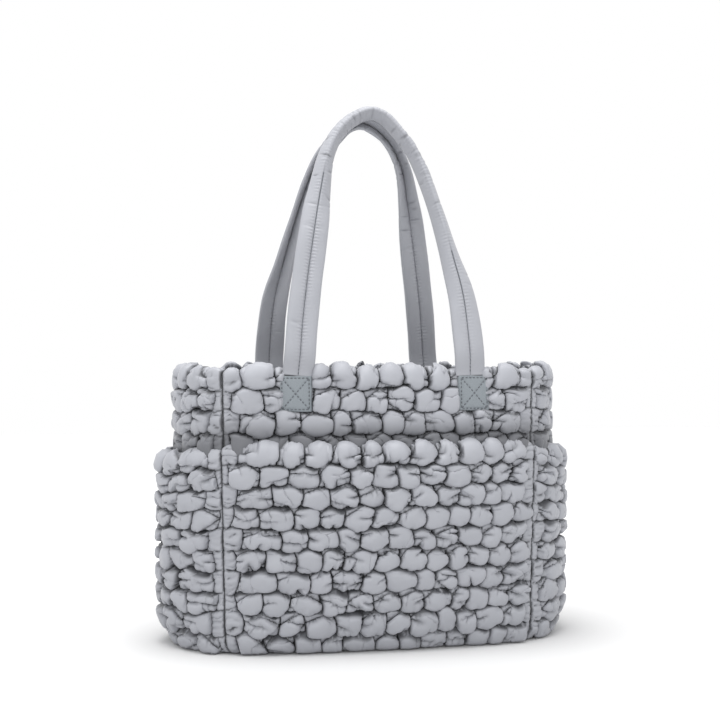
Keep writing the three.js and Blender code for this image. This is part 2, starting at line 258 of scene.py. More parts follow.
def row_line(layout, r, x):
    """Height, slope and droop of row line r at x, for whole arrays of r and x."""
    slope = row_height(layout, r, x + 0.5) - row_height(layout, r, x - 0.5)
    change = DROOP_CHANGE * np.sin(2 * np.pi * x / DROOP_LENGTH + layout["phase"][r, 2])
    return row_height(layout, r, x), slope, layout["wave"][r] * (ROW_DROOP + change)


# %% [markdown]
# With the lines known, every point of the sheet can be told which puff it belongs to: count the row
# lines below it, and then the upright lines to its left. What a puff needs later is kept with it.

# %% The puff of each point
def find_puffs(x0, y0, layout):
    """Row r and column k of the puff that each point of the sheet belongs to, the lines round it,
    its middle and its size. A strip is the gathered cloth beside a seam."""
    r = np.zeros(x0.shape, int)
    for line in range(1, len(layout["row"]) - 1):
        r += y0 >= row_height(layout, np.full(x0.shape, line), x0)
    level = 0.5 * (layout["row"][:-1] + layout["row"][1:])[r]
    lift = y0 - level
    k = np.zeros(x0.shape, int) - 1
    for column in range(layout["x"].shape[1]):
        k += x0 >= upright_line(layout, r, column, lift)
    k = np.clip(k, 0, layout["last"][r])
    low, low_slope, low_droop = row_line(layout, r, x0)
    high, high_slope, high_droop = row_line(layout, r + 1, x0)
    west, east = (upright_line(layout, r, j, lift) for j in (k, k + 1))
    return SimpleNamespace(
        r=r, k=k, level=level, strip=(k == 0) | (k == layout["last"][r]),
        low=low, low_slope=low_slope, low_droop=low_droop,
        high=high, high_slope=high_slope, high_droop=high_droop,
        west=west, east=east, middle_x=0.5 * (west + east), middle_y=0.5 * (low + high),
        size_x=east - west, size_y=high - low,
    )


# %% [markdown]
# ## Tucks and lids
# Where a stitch pulls hard, the nylon folds into a tuck that runs a little way into the puff.
# A tuck is a short line: the points of the cloth on it are held at its height, which climbs
# from the stitch to the puff's face, and the cloth beside it stays on its own side of a plane
# that leans over the line. A long tuck across a corner also turns that corner down under a lid.
# Cloth that is left alone folds where it likes. Drawn tucks put the folds where stitches make them.

# %% Tucks
# Lengths are in mm. A tuck's line is as wide as a share of the cloth's step, its extra cloth is a
# share of the cloth's length, and a corner's slope is mm of height per mm.
CONTACT_GAP = 0.15
TUCK_CLIMB = 1.5
TUCK_LINE = 0.55
TUCK_CLOTH = 0.4
TUCK_CLOTH_FADE = 0.6
TUCK_CLOTH_REACH = 7
TUCK_SIDE = 10.0
CORNER_SLOPE = 0.25
NO_LID = 60.0
TUCKS = (
    # place across and up the puff, angle, spread of angle, length as a share, height at its
    # start and end, the side that it turns down, how far one side leans over the other, chance
    ((0.0, 0.0), (0.3, 0.7), 0, 22, (0.3, 0.62), (2.5, 11.5), 0, (-0.6, 0.6), 0.5),
    ((1.0, 1.0), (0.3, 0.7), 180, 22, (0.3, 0.62), (2.5, 11.5), 0, (-0.6, 0.6), 0.45),
    ((0.0, 0.0), (0.14, 0.4), 0, 25, (0.2, 0.36), (2.5, 11.0), 0, (-0.6, 0.6), 0.14),
    ((0.0, 0.0), (0.6, 0.86), 0, 25, (0.2, 0.36), (2.5, 11.0), 0, (-0.6, 0.6), 0.14),
    ((1.0, 1.0), (0.14, 0.4), 180, 25, (0.2, 0.36), (2.5, 11.0), 0, (-0.6, 0.6), 0.14),
    ((1.0, 1.0), (0.6, 0.86), 180, 25, (0.2, 0.36), (2.5, 11.0), 0, (-0.6, 0.6), 0.14),
    ((0.15, 0.45), (0.0, 0.0), 90, 34, (0.2, 0.36), (2.5, 11.0), 0, (-0.6, 0.6), 0.12),
    ((0.55, 0.85), (0.0, 0.0), 90, 34, (0.2, 0.36), (2.5, 11.0), 0, (-0.6, 0.6), 0.12),
    ((0.15, 0.85), (1.0, 1.0), -90, 40, (0.2, 0.4), (2.5, 11.0), 0, (-0.6, 0.6), 0.16),
    ((0.0, 0.0), (0.36, 0.64), 36, 16, (0.9, 1.2), (5.5, 8.0), 1, (0.3, 0.8), 0.46),
    ((1.0, 1.0), (0.42, 0.66), 144, 16, (0.8, 1.1), (5.5, 8.0), -1, (-0.8, -0.3), 0.2),
    ((0.0, 0.0), (0.3, 0.5), -36, 14, (0.8, 1.1), (4.5, 6.5), -1, (-0.8, -0.3), 0.1),
    ((1.0, 1.0), (0.3, 0.5), -144, 14, (0.8, 1.1), (4.5, 6.5), 1, (0.3, 0.8), 0.1),
)


def tuck_climb(t):
    """Share of its climb that a tuck has made at the share t of its length: slow, then steeper."""
    return np.clip(t, 0, 1) ** TUCK_CLIMB


def puff_tucks(puff, x0, y0, layout, rng):
    """The tucks of every puff, drawn on the cut cloth: the points that lie on one, where it holds
    them and how open to the light they lie, which sets their painted shade, the extra cloth that
    it takes, a lid over corners that it turns down, and the points beside it with its line."""
    r, k = puff.r, puff.k
    shape = layout["x"].shape
    foot, head = layout["row"][r], layout["row"][r + 1]

    def draw(a, b):
        return rng.uniform(a, b, shape)[r, k]

    on, open_to = np.zeros(x0.shape, bool), np.zeros(x0.shape)
    line, extra = np.zeros((3,) + x0.shape), np.zeros(x0.shape)
    lid, beside = np.full(x0.shape, NO_LID), []
    for across, up, angle, spread, share, heights, turned_down, leans, chance in TUCKS:
        y = foot + (head - foot) * draw(*up)
        lift = y - 0.5 * (foot + head)
        west, east = (upright_line(layout, r, j, lift) for j in (k, k + 1))
        x = west + (east - west) * draw(*across)
        angle = np.radians(angle + draw(-spread, spread))
        c, s = np.cos(angle), np.sin(angle)
        length = draw(*share) * ((east - west) * np.abs(c) + (head - foot) * np.abs(s))
        change, lean = draw(-1, 1), draw(*leans)
        low, high = heights[0] + change, heights[1] + change
        t = ((x0 - x) * c + (y0 - y) * s) / length
        aside = (y0 - y) * c - (x0 - x) * s
        height = low + (high - low) * tuck_climb(t)
        made = ~puff.strip & (draw(0, 1) < chance)
        within = made & (t > 0) & (t < 1)
        this = within & (np.abs(aside) < TUCK_LINE * CLOTH_STEP) & ~on
        line = np.where(this, [x + c * t * length, y + s * t * length, height], line)
        open_to = np.where(this, tuck_climb(t), open_to)
        on |= this
        fade = np.exp(-((aside / TUCK_CLOTH_REACH) ** 2))
        extra = np.maximum(extra, within * TUCK_CLOTH * (1 - TUCK_CLOTH_FADE * t) * fade)
        down = made & (turned_down * aside > 0)
        lid = np.where(down, np.minimum(lid, height + CORNER_SLOPE * np.abs(aside)), lid)
        near = np.nonzero((within & ~this & (np.abs(aside) < TUCK_SIDE)).ravel())[0]
        values = (x, y, c, s, length, low, high, lean, np.sign(aside))
        beside.append((near, [v.ravel()[near].astype(np.float32) for v in values]))
    return on, line, open_to, extra, lid, beside


def part_tucks(points, beside):
    """Moves the points beside each tuck back to their own side of the leaning plane over it."""
    flat = points.reshape(3, -1)
    for near, (x, y, c, s, length, low, high, lean, sign) in beside:
        px, py, pw = flat[:, near]
        t = ((px - x) * c + (py - y) * s) / length
        aside = (py - y) * c - (px - x) * s
        height = low + (high - low) * tuck_climb(t)
        wall = lean * np.maximum(pw - height, 0) + sign * CONTACT_GAP
        move = sign * np.maximum(sign * (wall - aside), 0)
        flat[0, near] -= s * move
        flat[1, near] += c * move


# %% [markdown]
# Filling never lies level, so each puff has a lid of its own: a flattish dome, tipped a little, with
# pinched corners and a few creases. Short pleats run in from the stitches all round, where the
# nylon is gathered onto the thread. Seeded random values make every puff another one.

# %% Tops and pleats
# Heights, depths and wave lengths are in mm, a tilt is mm of height per mm, and a pleat's angle and
# width are in radians.
PUFF_TOP = (11.8, 14.0)
PUFF_TILT = 0.15
PUFF_DOME = 0.7
RIM_ROUND = 4.0
CRUMPLE_WAVES = 9
CRUMPLE_LENGTH = (9, 17)
CRUMPLE_NARROW = 2
CRUMPLE_DEPTH = 1.3
CRUMPLE_LEAST = 0.15
PLEATS = 13
PLEAT_ANGLE = 3.15
PLEAT_WIDTH = (0.06, 0.13)
PLEAT_RISE = (0.5, 0.95)
CORNER_PINCH = (
    # the corner, as sides across and up the puff, and its deepest pinch
    (-1, 1, 9.0), (1, 1, 5.0), (-1, -1, 4.5), (1, -1, 3.5),
)


def crumple(x, y, rng):
    """A net of creases from 0 to 1: it is 1 along the lines where a sum of waves in seeded random
    directions is 0, and falls off within a millimetre or two."""
    total = np.zeros(x.shape)
    least, most = (0, 0, CRUMPLE_LENGTH[0]), (np.pi, 2 * np.pi, CRUMPLE_LENGTH[1])
    for _ in range(CRUMPLE_WAVES):
        way, phase, length = rng.uniform(least, most)
        total += np.sin(2 * np.pi * (x * np.cos(way) + y * np.sin(way)) / length + phase)
    return np.clip(1 - CRUMPLE_NARROW * np.abs(total) / np.sqrt(CRUMPLE_WAVES), 0, 1)


def puff_tops(puff, x, y, shape, rng):
    """A function of where the cloth lies, as places aside and above the middle of its puff, that
    gives the puff's own top: a tipped dome with creases and pinched corners, rounder at the rim."""
    r, k = puff.r, puff.k
    top = rng.uniform(*PUFF_TOP, shape)[r, k]
    tip_x, tip_y = rng.uniform(-PUFF_TILT, PUFF_TILT, (2,) + shape)[:, r, k]
    creases = CRUMPLE_DEPTH * crumple(x, y, rng)
    rim = RIM_ROUND * (r == shape[0] - 1)
    pinches = [(i, j, rng.uniform(0, most, shape)[r, k]) for i, j, most in CORNER_PINCH]

    def tops(aside, above):
        a, b = aside / puff.size_x, above / puff.size_y
        across, up = (2 * aside / puff.size_x) ** 2, (2 * above / puff.size_y) ** 2
        lid = top + tip_x * aside + tip_y * above - PUFF_DOME * (across + up)
        lid = lid - rim * across * np.clip(0.5 + 2 * above / puff.size_y, 0, 1)
        for i, j, pinch in pinches:
            corner = np.clip(0.5 + i * a, 0, 1) * np.clip(0.5 + j * b, 0, 1)
            lid = lid - pinch * corner**2 * np.sqrt(corner)
        return lid - creases * np.clip(across + up, CRUMPLE_LEAST, 1)

    return tops


def pleats(puff, aside, above, shape, rng):
    """Depth of the short pleats round a puff: each is a groove along a seeded random direction
    from the puff's middle, and deepens towards the stitches."""
    r, k = puff.r, puff.k
    a, b = 2 * aside / puff.size_x, 2 * above / puff.size_y
    angle = np.arctan2(b, a)
    depth = np.zeros(aside.shape)
    for _ in range(PLEATS):
        at = rng.uniform(-PLEAT_ANGLE, PLEAT_ANGLE, shape)[r, k]
        share = rng.uniform(0, 1, shape)[r, k]
        wide = rng.uniform(*PLEAT_WIDTH, shape)[r, k]
        off = (angle - at + np.pi) % (2 * np.pi) - np.pi
        depth = np.maximum(depth, share * np.exp(-((off / wide) ** 2)))
    return depth * rise(np.maximum(np.abs(a), np.abs(b)), *PLEAT_RISE)


# %% [markdown]
# Beside the corner seams the nylon is drawn together by the seam itself, which leaves a
# ladder of short folds across the strip. A ridged lid makes them: its grooves run across the
# strip and deepen from the seam to the first upright stitches.

# %% Gathers at the seams
# Lengths are in mm, and wander and bend in radians. The other values are slopes.
GATHER_PITCH = 4.6
GATHER_REACH = 9.0
GATHER_WANDER = 2.4
GATHER_WANDER_LENGTH = 31
GATHER_BEND = 0.7
GATHER_BEND_LENGTHS = (11, 17)
GATHER_MEAN = 0.52
GATHER_CHANGE = 0.16
GATHER_CHANGE_LENGTH = 23
SEAM_SLOPE = 0.7
PUFF_SLOPE = 1.2


def gather_lid(x, y, width, strip, rng):
    """A lid that climbs from 0 at a seam. In the strip beside the seam, grooves that deepen away
    from it make the slope wave along it."""
    lid = np.full(x.shape, NO_LID)
    turn = 2 * np.pi * y
    for distance in (x, width - x):
        phase = rng.uniform(0, 2 * np.pi, 3)
        wander = GATHER_WANDER * np.sin(turn / GATHER_WANDER_LENGTH + phase[0])
        bend = 2 * np.pi * distance / GATHER_BEND_LENGTHS[0] + turn / GATHER_BEND_LENGTHS[1]
        run = turn / GATHER_PITCH + wander + phase[1] + GATHER_BEND * np.sin(bend + phase[2])
        strength = GATHER_MEAN + GATHER_CHANGE * np.sin(turn / GATHER_CHANGE_LENGTH + phase[1])
        groove = strip * (1 - np.abs(np.sin(0.5 * run))) * rise(distance, 1, GATHER_REACH)
        past_strip = ~strip * np.maximum(distance - GATHER_REACH, 0)
        slope = SEAM_SLOPE - strength * groove
        lid = np.minimum(lid, slope * distance + PUFF_SLOPE * past_strip)
    return lid


# %% [markdown]
# ## Filling the sheet
# Cloth simulation is the way to get puffs that look stuffed. Blender's own cloth would do it,
# but here hundreds of puffs have to stay inside their stitches and press against their
# neighbours, so a small solver in numpy is easier to steer. It holds the sheet as a grid of
# points and repeats four things: blow the points outwards, pull every pair of neighbours
# towards its length in the cut cloth, resist sharp bends, and push each point back under its
# lid and to its own side of the leaning planes where two puffs meet.

# %% Pulling the cloth
BEND_SHARE = 0.1
SHEAR_SHARE = 0.35
TINY = 1e-6


def grid_pairs(rest_x, rest_y):
    """Pairs of grid points that pull on each other, in groups that share no point: sideways,
    upwards, both diagonals, and every second neighbour for bending."""
    rows, cols = rest_x.shape[0], rest_y.shape[1]
    full = slice(None)
    square_x = 0.5 * (rest_x[:-1] ** 2 + rest_x[1:] ** 2)
    square_y = 0.5 * (rest_y[:, :-1] ** 2 + rest_y[:, 1:] ** 2)
    cross = np.sqrt(square_x + square_y)
    bend_x = rest_x[:, :-1] + rest_x[:, 1:]
    bend_y = rest_y[:-1] + rest_y[1:]
    pairs = []
    for p in (0, 1):
        near, far = slice(p, cols - 1, 2), slice(p + 1, cols, 2)
        pairs.append(((full, full, near), (full, full, far), rest_x[:, p::2], 1.0, False))
        near, far = slice(p, rows - 1, 2), slice(p + 1, rows, 2)
        pairs.append(((full, near, full), (full, far, full), rest_y[p::2], 1.0, False))
        west, east = slice(0, cols - 1), slice(1, cols)
        pairs.append(((full, near, west), (full, far, east), cross[p::2], SHEAR_SHARE, False))
        pairs.append(((full, near, east), (full, far, west), cross[p::2], SHEAR_SHARE, False))
    for q in range(4):
        near, far = slice(q, cols - 2, 4), slice(q + 2, cols, 4)
        pairs.append(((full, full, near), (full, full, far), bend_x[:, q::4], BEND_SHARE, True))
        near, far = slice(q, rows - 2, 4), slice(q + 2, rows, 4)
        pairs.append(((full, near, full), (full, far, full), bend_y[q::4], BEND_SHARE, True))
    return pairs


def pull_pairs(points, free, pairs):
    """Moves both points of every pair along their line by half the error in its length. Bending
    pairs only push, when they come closer than their length."""
    for a, b, rest, share, push_only in pairs:
        gap = points[b] - points[a]
        length = np.sqrt((gap * gap).sum(axis=0)) + TINY
        error = length - rest
        if push_only:
            error = np.minimum(error, 0)
        weight_a, weight_b = free[a[1:]], free[b[1:]]
        fix = share * error / (length * np.maximum(weight_a + weight_b, TINY))
        points[a] += gap * (fix * weight_a)
        points[b] -= gap * (fix * weight_b)


def blow(points, free, amount):
    """Moves the inner points along the sheet's normal, the cross product of its two
    directions, in proportion to the area that each point stands for."""
    east = points[:, 1:-1, 2:] - points[:, 1:-1, :-2]
    north = points[:, 2:, 1:-1] - points[:, :-2, 1:-1]
    normal = np.cross(east, north, axis=0) / (4 * CLOTH_STEP**2)
    points[:, 1:-1, 1:-1] += amount * normal * free[1:-1, 1:-1]


# %% [markdown]
# A sheet is stuffed in a few steps, and each has its own short function: hold the points that lie
# on a stitch, cut the cloth larger than its place, keep the strips under the straps free, blow the
# sheet up, and press in the pleats.

# %% Stitched points
def hold_stitches(x0, y0, puff, width, height):
    """Places of the points, with those beside a stitch line moved onto it, and which are held. The
    strips beside the seams have no row stitches, and the sheet's four edges are held."""
    near = 0.5 * CLOTH_STEP
    on_low, on_high = y0 - puff.low < near, puff.high - y0 < near
    on_west, on_east = x0 - puff.west < near, puff.east - x0 < near
    x = np.where(on_west, puff.west, np.where(on_east, puff.east, x0))
    y = np.where(puff.strip, y0, np.where(on_low, puff.low, np.where(on_high, puff.high, y0)))
    held = on_west | on_east | (on_low | on_high) & ~puff.strip
    held[[0, -1]] = True
    held[:, [0, -1]] = True
    x[:, 0], x[:, -1] = 0, width
    y[0], y[-1] = 0, height
    return x, y, held


# %% Cut cloth
# Every value is a share: of the cloth's length, or of the way across a puff.
PUFF_EXCESS = (0.6, 0.84)
FULL_FROM = 0.22
GATHER = 0.08
JOINT_GATHER = 0.9


def from_stitch(distance, size):
    """Share of the way from a stitch to where the cloth of a puff is at its fullest."""
    return np.clip(distance / (FULL_FROM * np.maximum(size, 1)), 0, 1)


def cut_cloth(across, along, extra, puff, shape, rng):
    """Pairs of points with their lengths in the cut cloth: the grid's step times 1 plus an excess,
    which is largest in the middle of a puff."""
    excess = rng.uniform(*PUFF_EXCESS, (2,) + shape)
    fullness = np.sin(0.5 * np.pi * along)
    joint = np.maximum(JOINT_GATHER, np.sin(0.5 * np.pi * across))
    rest_x = CLOTH_STEP * (1 + GATHER + extra + excess[0][puff.r, puff.k] * fullness)
    rest_y = CLOTH_STEP * (1 + GATHER + extra + excess[1][puff.r, puff.k] * joint)
    rest_x = 0.5 * (rest_x[:, 1:] + rest_x[:, :-1]).astype(np.float32)
    rest_y = 0.5 * (rest_y[1:] + rest_y[:-1]).astype(np.float32)
    return grid_pairs(rest_x, rest_y)


# %% Strips under the straps
FOOT_HALF = 17.0
FOOT_LAP = 0.12
FAR_OFF = 50.0


def strap_strips(x0, y0, width, height, feet, foot_y):
    """The least x, the most x and the most y that each point may have, so that above foot_y the
    puffs keep out of the strips where a strap stands."""
    x_least, x_most = np.full(x0.shape, -FAR_OFF), np.full(x0.shape, width + FAR_OFF)
    y_most = np.full(x0.shape, height + FAR_OFF)
    beside = y0 > foot_y
    for foot in feet:
        to_east = (x0 > foot + FOOT_HALF) & (x0 < foot + 3 * FOOT_HALF)
        to_west = (x0 < foot - FOOT_HALF) & (x0 > foot - 3 * FOOT_HALF)
        x_least = np.where(beside & to_east, foot + FOOT_HALF, x_least)
        x_most = np.where(beside & to_west, foot - FOOT_HALF, x_most)
        y_most = np.where(~beside & (np.abs(x0 - foot) < FOOT_HALF), foot_y, y_most)
    return x_least, x_most, y_most


# %% Blowing up
# The pressure is in mm for each step on flat cloth.
FILL_STEPS = 150
FILL_PRESSURE = 0.34
PRESSURE_DROP = 0.7
GAP_SHARE = 0.4


def fill(points, held, pairs, limits, x0, puff, layout):
    """Repeats the four things for every point that isn't held. Gives the points, and where the
    neighbouring puffs stand west, east, below and above each point at the last step."""
    x_least, x_most, y_most = limits.strips
    lean_west, lean_east = (layout["contact"][puff.r, j] for j in (puff.k, puff.k + 1))
    anchor = points.copy()
    free = (~held).astype(np.float32)
    for step in range(FILL_STEPS):
        blow(points, free, FILL_PRESSURE * (1 - PRESSURE_DROP * step / FILL_STEPS))
        pull_pairs(points, free, pairs)
        px, py, pw = points
        top = limits.tops(px - puff.middle_x, py - puff.middle_y)
        np.minimum(pw, np.minimum(limits.lid, top), out=pw)
        np.maximum(pw, 0, out=pw)
        gap = np.minimum(CONTACT_GAP, GAP_SHARE * pw)
        aside = px - x0
        below = puff.low + puff.low_slope * aside + puff.low_droop * pw + gap
        above = puff.high + puff.high_slope * aside + puff.high_droop * pw - gap
        np.clip(py, below, above, out=py)
        lift = py - puff.level
        west = upright_line(layout, puff.r, puff.k, lift) + lean_west * pw + gap
        east = upright_line(layout, puff.r, puff.k + 1, lift) + lean_east * pw - gap
        np.clip(px, west, east, out=px)
        np.clip(px, x_least - FOOT_LAP * pw, x_most + FOOT_LAP * pw, out=px)
        np.minimum(py, y_most + FOOT_LAP * pw, out=py)
        part_tucks(points, limits.tuck_sides)
        points = np.where(held, anchor, points)
    return points, (west, east, below, above)


# %% Pressing the pleats
SOFTEN = 0.3
PLEAT_DEPTH = 1.7
PLEAT_FULL_HEIGHT = 6


def blurred(values, reach):
    """Each value as the mean of a square of neighbours, from sums along both directions."""
    for axis in (0, 1):
        total = sum(np.roll(values, shift, axis) for shift in range(-reach, reach + 1))
        values = total / (2 * reach + 1)
    return values


def press_pleats(settled, held, puff, shape, rng):
    """One pass of smoothing takes out the grid's own pits, and the pleats are pressed in against
    the sheet's normals. Held points stay."""
    soft = np.stack([blurred(values, 1) for values in settled])
    points = settled + SOFTEN * (soft - settled)
    px, py, pw = points
    depth = pleats(puff, px - puff.middle_x, py - puff.middle_y, shape, rng)
    depth = PLEAT_DEPTH * np.minimum(1, pw / PLEAT_FULL_HEIGHT) * depth
    normal = np.cross(np.gradient(points, axis=2), np.gradient(points, axis=1), axis=0)
    normal /= np.sqrt((normal**2).sum(axis=0)) + TINY
    return np.where(held, settled, points - depth * normal)


# %% [markdown]
# Light hardly reaches the places where two puffs touch and the bottoms of the folds. The sheet
# knows both, so it marks each point with how open to the light it lies, and the finish goes dark
# where that mark is low. The dark fades towards the puffs' faces, as the shade in a cleft does.

# %% Light in the clefts
# Reaches, heights and depths are in mm. What is dark or even is a share.
TOUCH_REACH = 0.8
TOUCH_START = 1.9
TOUCH_HEIGHT = 8
TOUCH_EVEN = 0.2
NO_TOUCH = 9
FOLD_CELLS = 3
FOLD_FROM = 1.2
FOLD_OVER = 1.1
FOLD_DARK = 0.9
STRIP_FOLDS = 1.4


def open_to_light(points, neighbours, across, puff, layout):
    """How open to the light each point lies, from 0 to 1: 1 less its touch with the neighbours,
    times 1 less the depth of the fold that it lies in. A puff doesn't touch a strip beside it."""
    px, py, pw = points
    west, east, below, above = neighbours
    clear_w = np.where(puff.k == 1, NO_TOUCH, px - west)
    clear_e = np.where(puff.k == layout["last"][puff.r] - 1, NO_TOUCH, east - px)
    clear = np.minimum(np.minimum(clear_w, clear_e), np.minimum(py - below, above - py))
    low_down = np.clip(TOUCH_START - pw / TOUCH_HEIGHT, 0, 1)
    touching = (1 - np.clip(clear / TOUCH_REACH, 0, 1)) * low_down * (1 - TOUCH_EVEN * across)
    fold = (blurred(pw, FOLD_CELLS) - pw) * np.where(puff.strip, STRIP_FOLDS, 1)
    return (1 - touching) * (1 - FOLD_DARK * np.clip((fold - FOLD_FROM) / FOLD_OVER, 0, 1))


# %% Stuffing a sheet
LINING_STEP = 4
START_HEIGHT = 4
START_NOISE = 0.3


def stuff_sheet(width, height, layout, rng, ceiling, feet, foot_y):
    """The stuffed sheet as x, y and standing height w over a grid whose cells the lining's step
    divides, with the share of the way from a stitch to the middle of its puff, and how open to
    the light each point lies."""
    cols, rows = (LINING_STEP * round(n / CLOTH_STEP / LINING_STEP) + 1 for n in (width, height))
    x0, y0 = np.meshgrid(np.linspace(0, width, cols), np.linspace(0, height, rows))
    puff = find_puffs(x0, y0, layout)
    x, y, held = hold_stitches(x0, y0, puff, width, height)
    shape = layout["x"].shape

    # Points on a tuck are held too, at the tuck's own height.
    on_tuck, line, open_to, extra, lid, tuck_sides = puff_tucks(puff, x0, y0, layout, rng)
    on_tuck &= ~held
    # Painted shade: stitched points get no light at all, and points on a tuck get a shade that fades as
    # the tuck climbs.
    open_to = np.where(held, 0, open_to)
    x, y = np.where(on_tuck, line[0], x), np.where(on_tuck, line[1], y)
    lid = np.minimum(lid, gather_lid(x0, y0, width, puff.strip, rng))
    lid = np.minimum(lid, ceiling(x0, y0)).astype(np.float32)

    across = from_stitch(np.minimum(x0 - puff.west, puff.east - x0), puff.size_x)
    along = from_stitch(np.minimum(y0 - puff.low, puff.high - y0), puff.size_y)
    share = np.minimum(across, along)
    pairs = cut_cloth(across, along, extra, puff, shape, rng)
    limits = SimpleNamespace(
        lid=lid, tops=puff_tops(puff, x0, y0, shape, rng), tuck_sides=tuck_sides,
        strips=strap_strips(x0, y0, width, height, feet, foot_y),
    )
    w = START_HEIGHT * np.sqrt(share) + rng.uniform(0, START_NOISE, x0.shape)
    w = np.clip(np.where(on_tuck, line[2], np.where(held, 0, w)), 0, lid)
    held |= on_tuck
    points = np.stack([x, y, w]).astype(np.float32)
    points, neighbours = fill(points, held, pairs, limits, x0, puff, layout)
    points = press_pleats(points, held, puff, shape, rng)
    light_opening = open_to_light(points, neighbours, across, puff, layout)
    return points, share, np.where(held, open_to, light_opening)


# %% [markdown]
# ## From a flat sheet to a wall of the bag
# A stuffed sheet is still flat. Each wall has a course, the line that its backing follows from
# the tuck under the base, up the side and over the rim. The sheet is laid along that course
# and across the bowed side, and every puff stands out along the wall's own normal. A hem, a
# rim and a corner then need no special case.

# %% Courses of the walls
TUCK_RADIUS = 14.0
TUCK_TOP = 16.0
RIM_ROLL = 3.0
RIM_TURN = 120.0
POCKET_FLARE = (-10.0, 40.0)
ARC_POINTS = 40
CLIMBING_POINTS = 60
PATH_SAMPLES = 401


def wall_course(foot_radius, foot_angle, top):
    """Length along a wall against its out and z: an arc tucked under the base, a straight
    wall, and an arc over the rim."""
    out = foot_radius - TUCK_RADIUS
    a = np.radians(np.linspace(foot_angle, 0, ARC_POINTS))
    b = np.radians(np.linspace(0, RIM_TURN, ARC_POINTS))
    turn = top - RIM_ROLL
    foot = np.stack([foot_radius * np.cos(a) - TUCK_RADIUS, TUCK_TOP + foot_radius * np.sin(a)])
    rim = np.stack([out - RIM_ROLL + RIM_ROLL * np.cos(b), turn + RIM_ROLL * np.sin(b)])
    course = np.concatenate([foot, rim], axis=1)
    length = np.concatenate([[0], np.cumsum(np.hypot(*np.diff(course, axis=1)))])
    return length, course


def length_at(course, z):
    """Length along a course at which it has climbed to height z. Its last points, which turn down
    over the rim, are left out."""
    length, (_, heights) = course
    return float(np.interp(z, heights[:CLIMBING_POINTS], length[:CLIMBING_POINTS]))


def even_share(share, bow, span):
    """Turns an even share of the way along a bowed wall into u: the length of the parabola is
    summed along it and read backwards. Also gives that whole length."""
    u = np.linspace(0, 1, PATH_SAMPLES)
    steps = np.hypot(span * np.diff(u), bow * np.diff(arch(u)))
    path = np.concatenate([[0], np.cumsum(steps)])
    return np.interp(share, path / path[-1], u), path[-1]


def wall_surface(side, course, room, sag):
    """A function of u and the length s along the course that gives points of the backing. A
    pocket's room is added to the bow, and its mouth sags in an arch."""
    length, (outs, heights) = course
    mouth = heights.max()

    def surface(u, s):
        out, z = np.interp(s, length, outs), np.interp(s, length, heights)
        extra = room * rise(z, *POCKET_FLARE)
        level = z - sag * rise(z, mouth / 2, mouth) * arch(u)
        return side_point(side, u, out, level, extra)

    return surface


def surface_normal(surface, u, s):
    """Unit normals of a surface: the cross product of its two directions, from differences."""
    step_u, step_s = 0.002, 0.8
    across = surface(u + step_u, s) - surface(u - step_u, s)
    along = surface(u, s + step_s) - surface(u, s - step_s)
    normal = np.cross(across, along, axis=0)
    return normal / np.sqrt((normal**2).sum(axis=0))


# %% [markdown]
# ## Meshes from arrays
# A padded wall is one closed shell: the stuffed cloth outside, a plain lining inside with a
# quarter of its lines, and fans of triangles that close the four edges. Blender takes whole
# arrays of points and corners at once, which is far quicker than adding faces one by one.

# %% Mesh helpers
def make_mesh(name, points, faces, smooth=True, uv=None, marks=None):
    """A mesh object from points of shape (n, 3) in millimetres and lists of faces, each an array
    of shape (n, corners). uv is given per point, and marks are named values per point."""
    mesh = bpy.data.meshes.new(name)
    corners = np.concatenate([f.ravel() for f in faces]).astype(np.int32)
    counts = np.concatenate([np.full(len(f), f.shape[1]) for f in faces])
    starts = np.concatenate([[0], np.cumsum(counts)[:-1]]).astype(np.int32)
    mesh.vertices.add(len(points))
    mesh.vertices.foreach_set("co", (METRES * points).astype(np.float32).ravel())
    mesh.loops.add(len(corners))
    mesh.loops.foreach_set("vertex_index", corners)
    mesh.polygons.add(len(starts))
    mesh.polygons.foreach_set("loop_start", starts)
    mesh.polygons.foreach_set("use_smooth", np.full(len(starts), smooth))
    mesh.update(calc_edges=True)
    if uv is not None:
        layer = mesh.uv_layers.new(name="cloth")
        layer.data.foreach_set("uv", uv.astype(np.float32)[corners].ravel())
    for key, values in (marks or {}).items():
        mesh.attributes.new(key, "FLOAT", "POINT").data.foreach_set("value", values.astype(np.float32))
    mesh.validate()
    piece = bpy.data.objects.new(name, mesh)
    bpy.context.collection.objects.link(piece)
    return piece


UV_SCALE = 0.01


def make_shell(name, outer, lining, cloth, marks):
    """A closed shell of an outer grid, shape (3, rows, columns), and a lining grid that has every
    fourth line of it. cloth holds the two coordinates of the outer grid on the cut cloth."""
    grid = np.arange(outer[0].size).reshape(outer[0].shape)
    back = outer[0].size + np.arange(lining[0].size).reshape(lining[0].shape)
    faces = [
        np.stack([grid[:-1, :-1], grid[:-1, 1:], grid[1:, 1:], grid[1:, :-1]], -1).reshape(-1, 4),
        np.stack([back[:-1, :-1], back[1:, :-1], back[1:, 1:], back[:-1, 1:]], -1).reshape(-1, 4),
    ]
    edges = (
        (grid[0, ::-1], back[0, ::-1]),
        (grid[:, 0], back[:, 0]),
        (grid[-1], back[-1]),
        (grid[::-1, -1], back[::-1, -1]),
    )
    for fine, coarse in edges:
        near, far = coarse[:-1], coarse[1:]
        for m in range(LINING_STEP):
            faces.append(np.stack([fine[m:-1:LINING_STEP], fine[m + 1 :: LINING_STEP], near], -1))
        faces.append(np.stack([fine[LINING_STEP::LINING_STEP], far, near], -1))
    points = np.concatenate([outer.reshape(3, -1), lining.reshape(3, -1)], axis=1).T
    coarse = cloth[:, ::LINING_STEP, ::LINING_STEP].reshape(2, -1)
    uv = UV_SCALE * np.concatenate([cloth.reshape(2, -1), coarse], axis=1).T
    plain = np.ones(lining[0].size)
    marks = {key: np.concatenate([v.ravel(), plain]) for key, v in marks.items()}
    return make_mesh(name, points, faces, uv=uv, marks=marks)


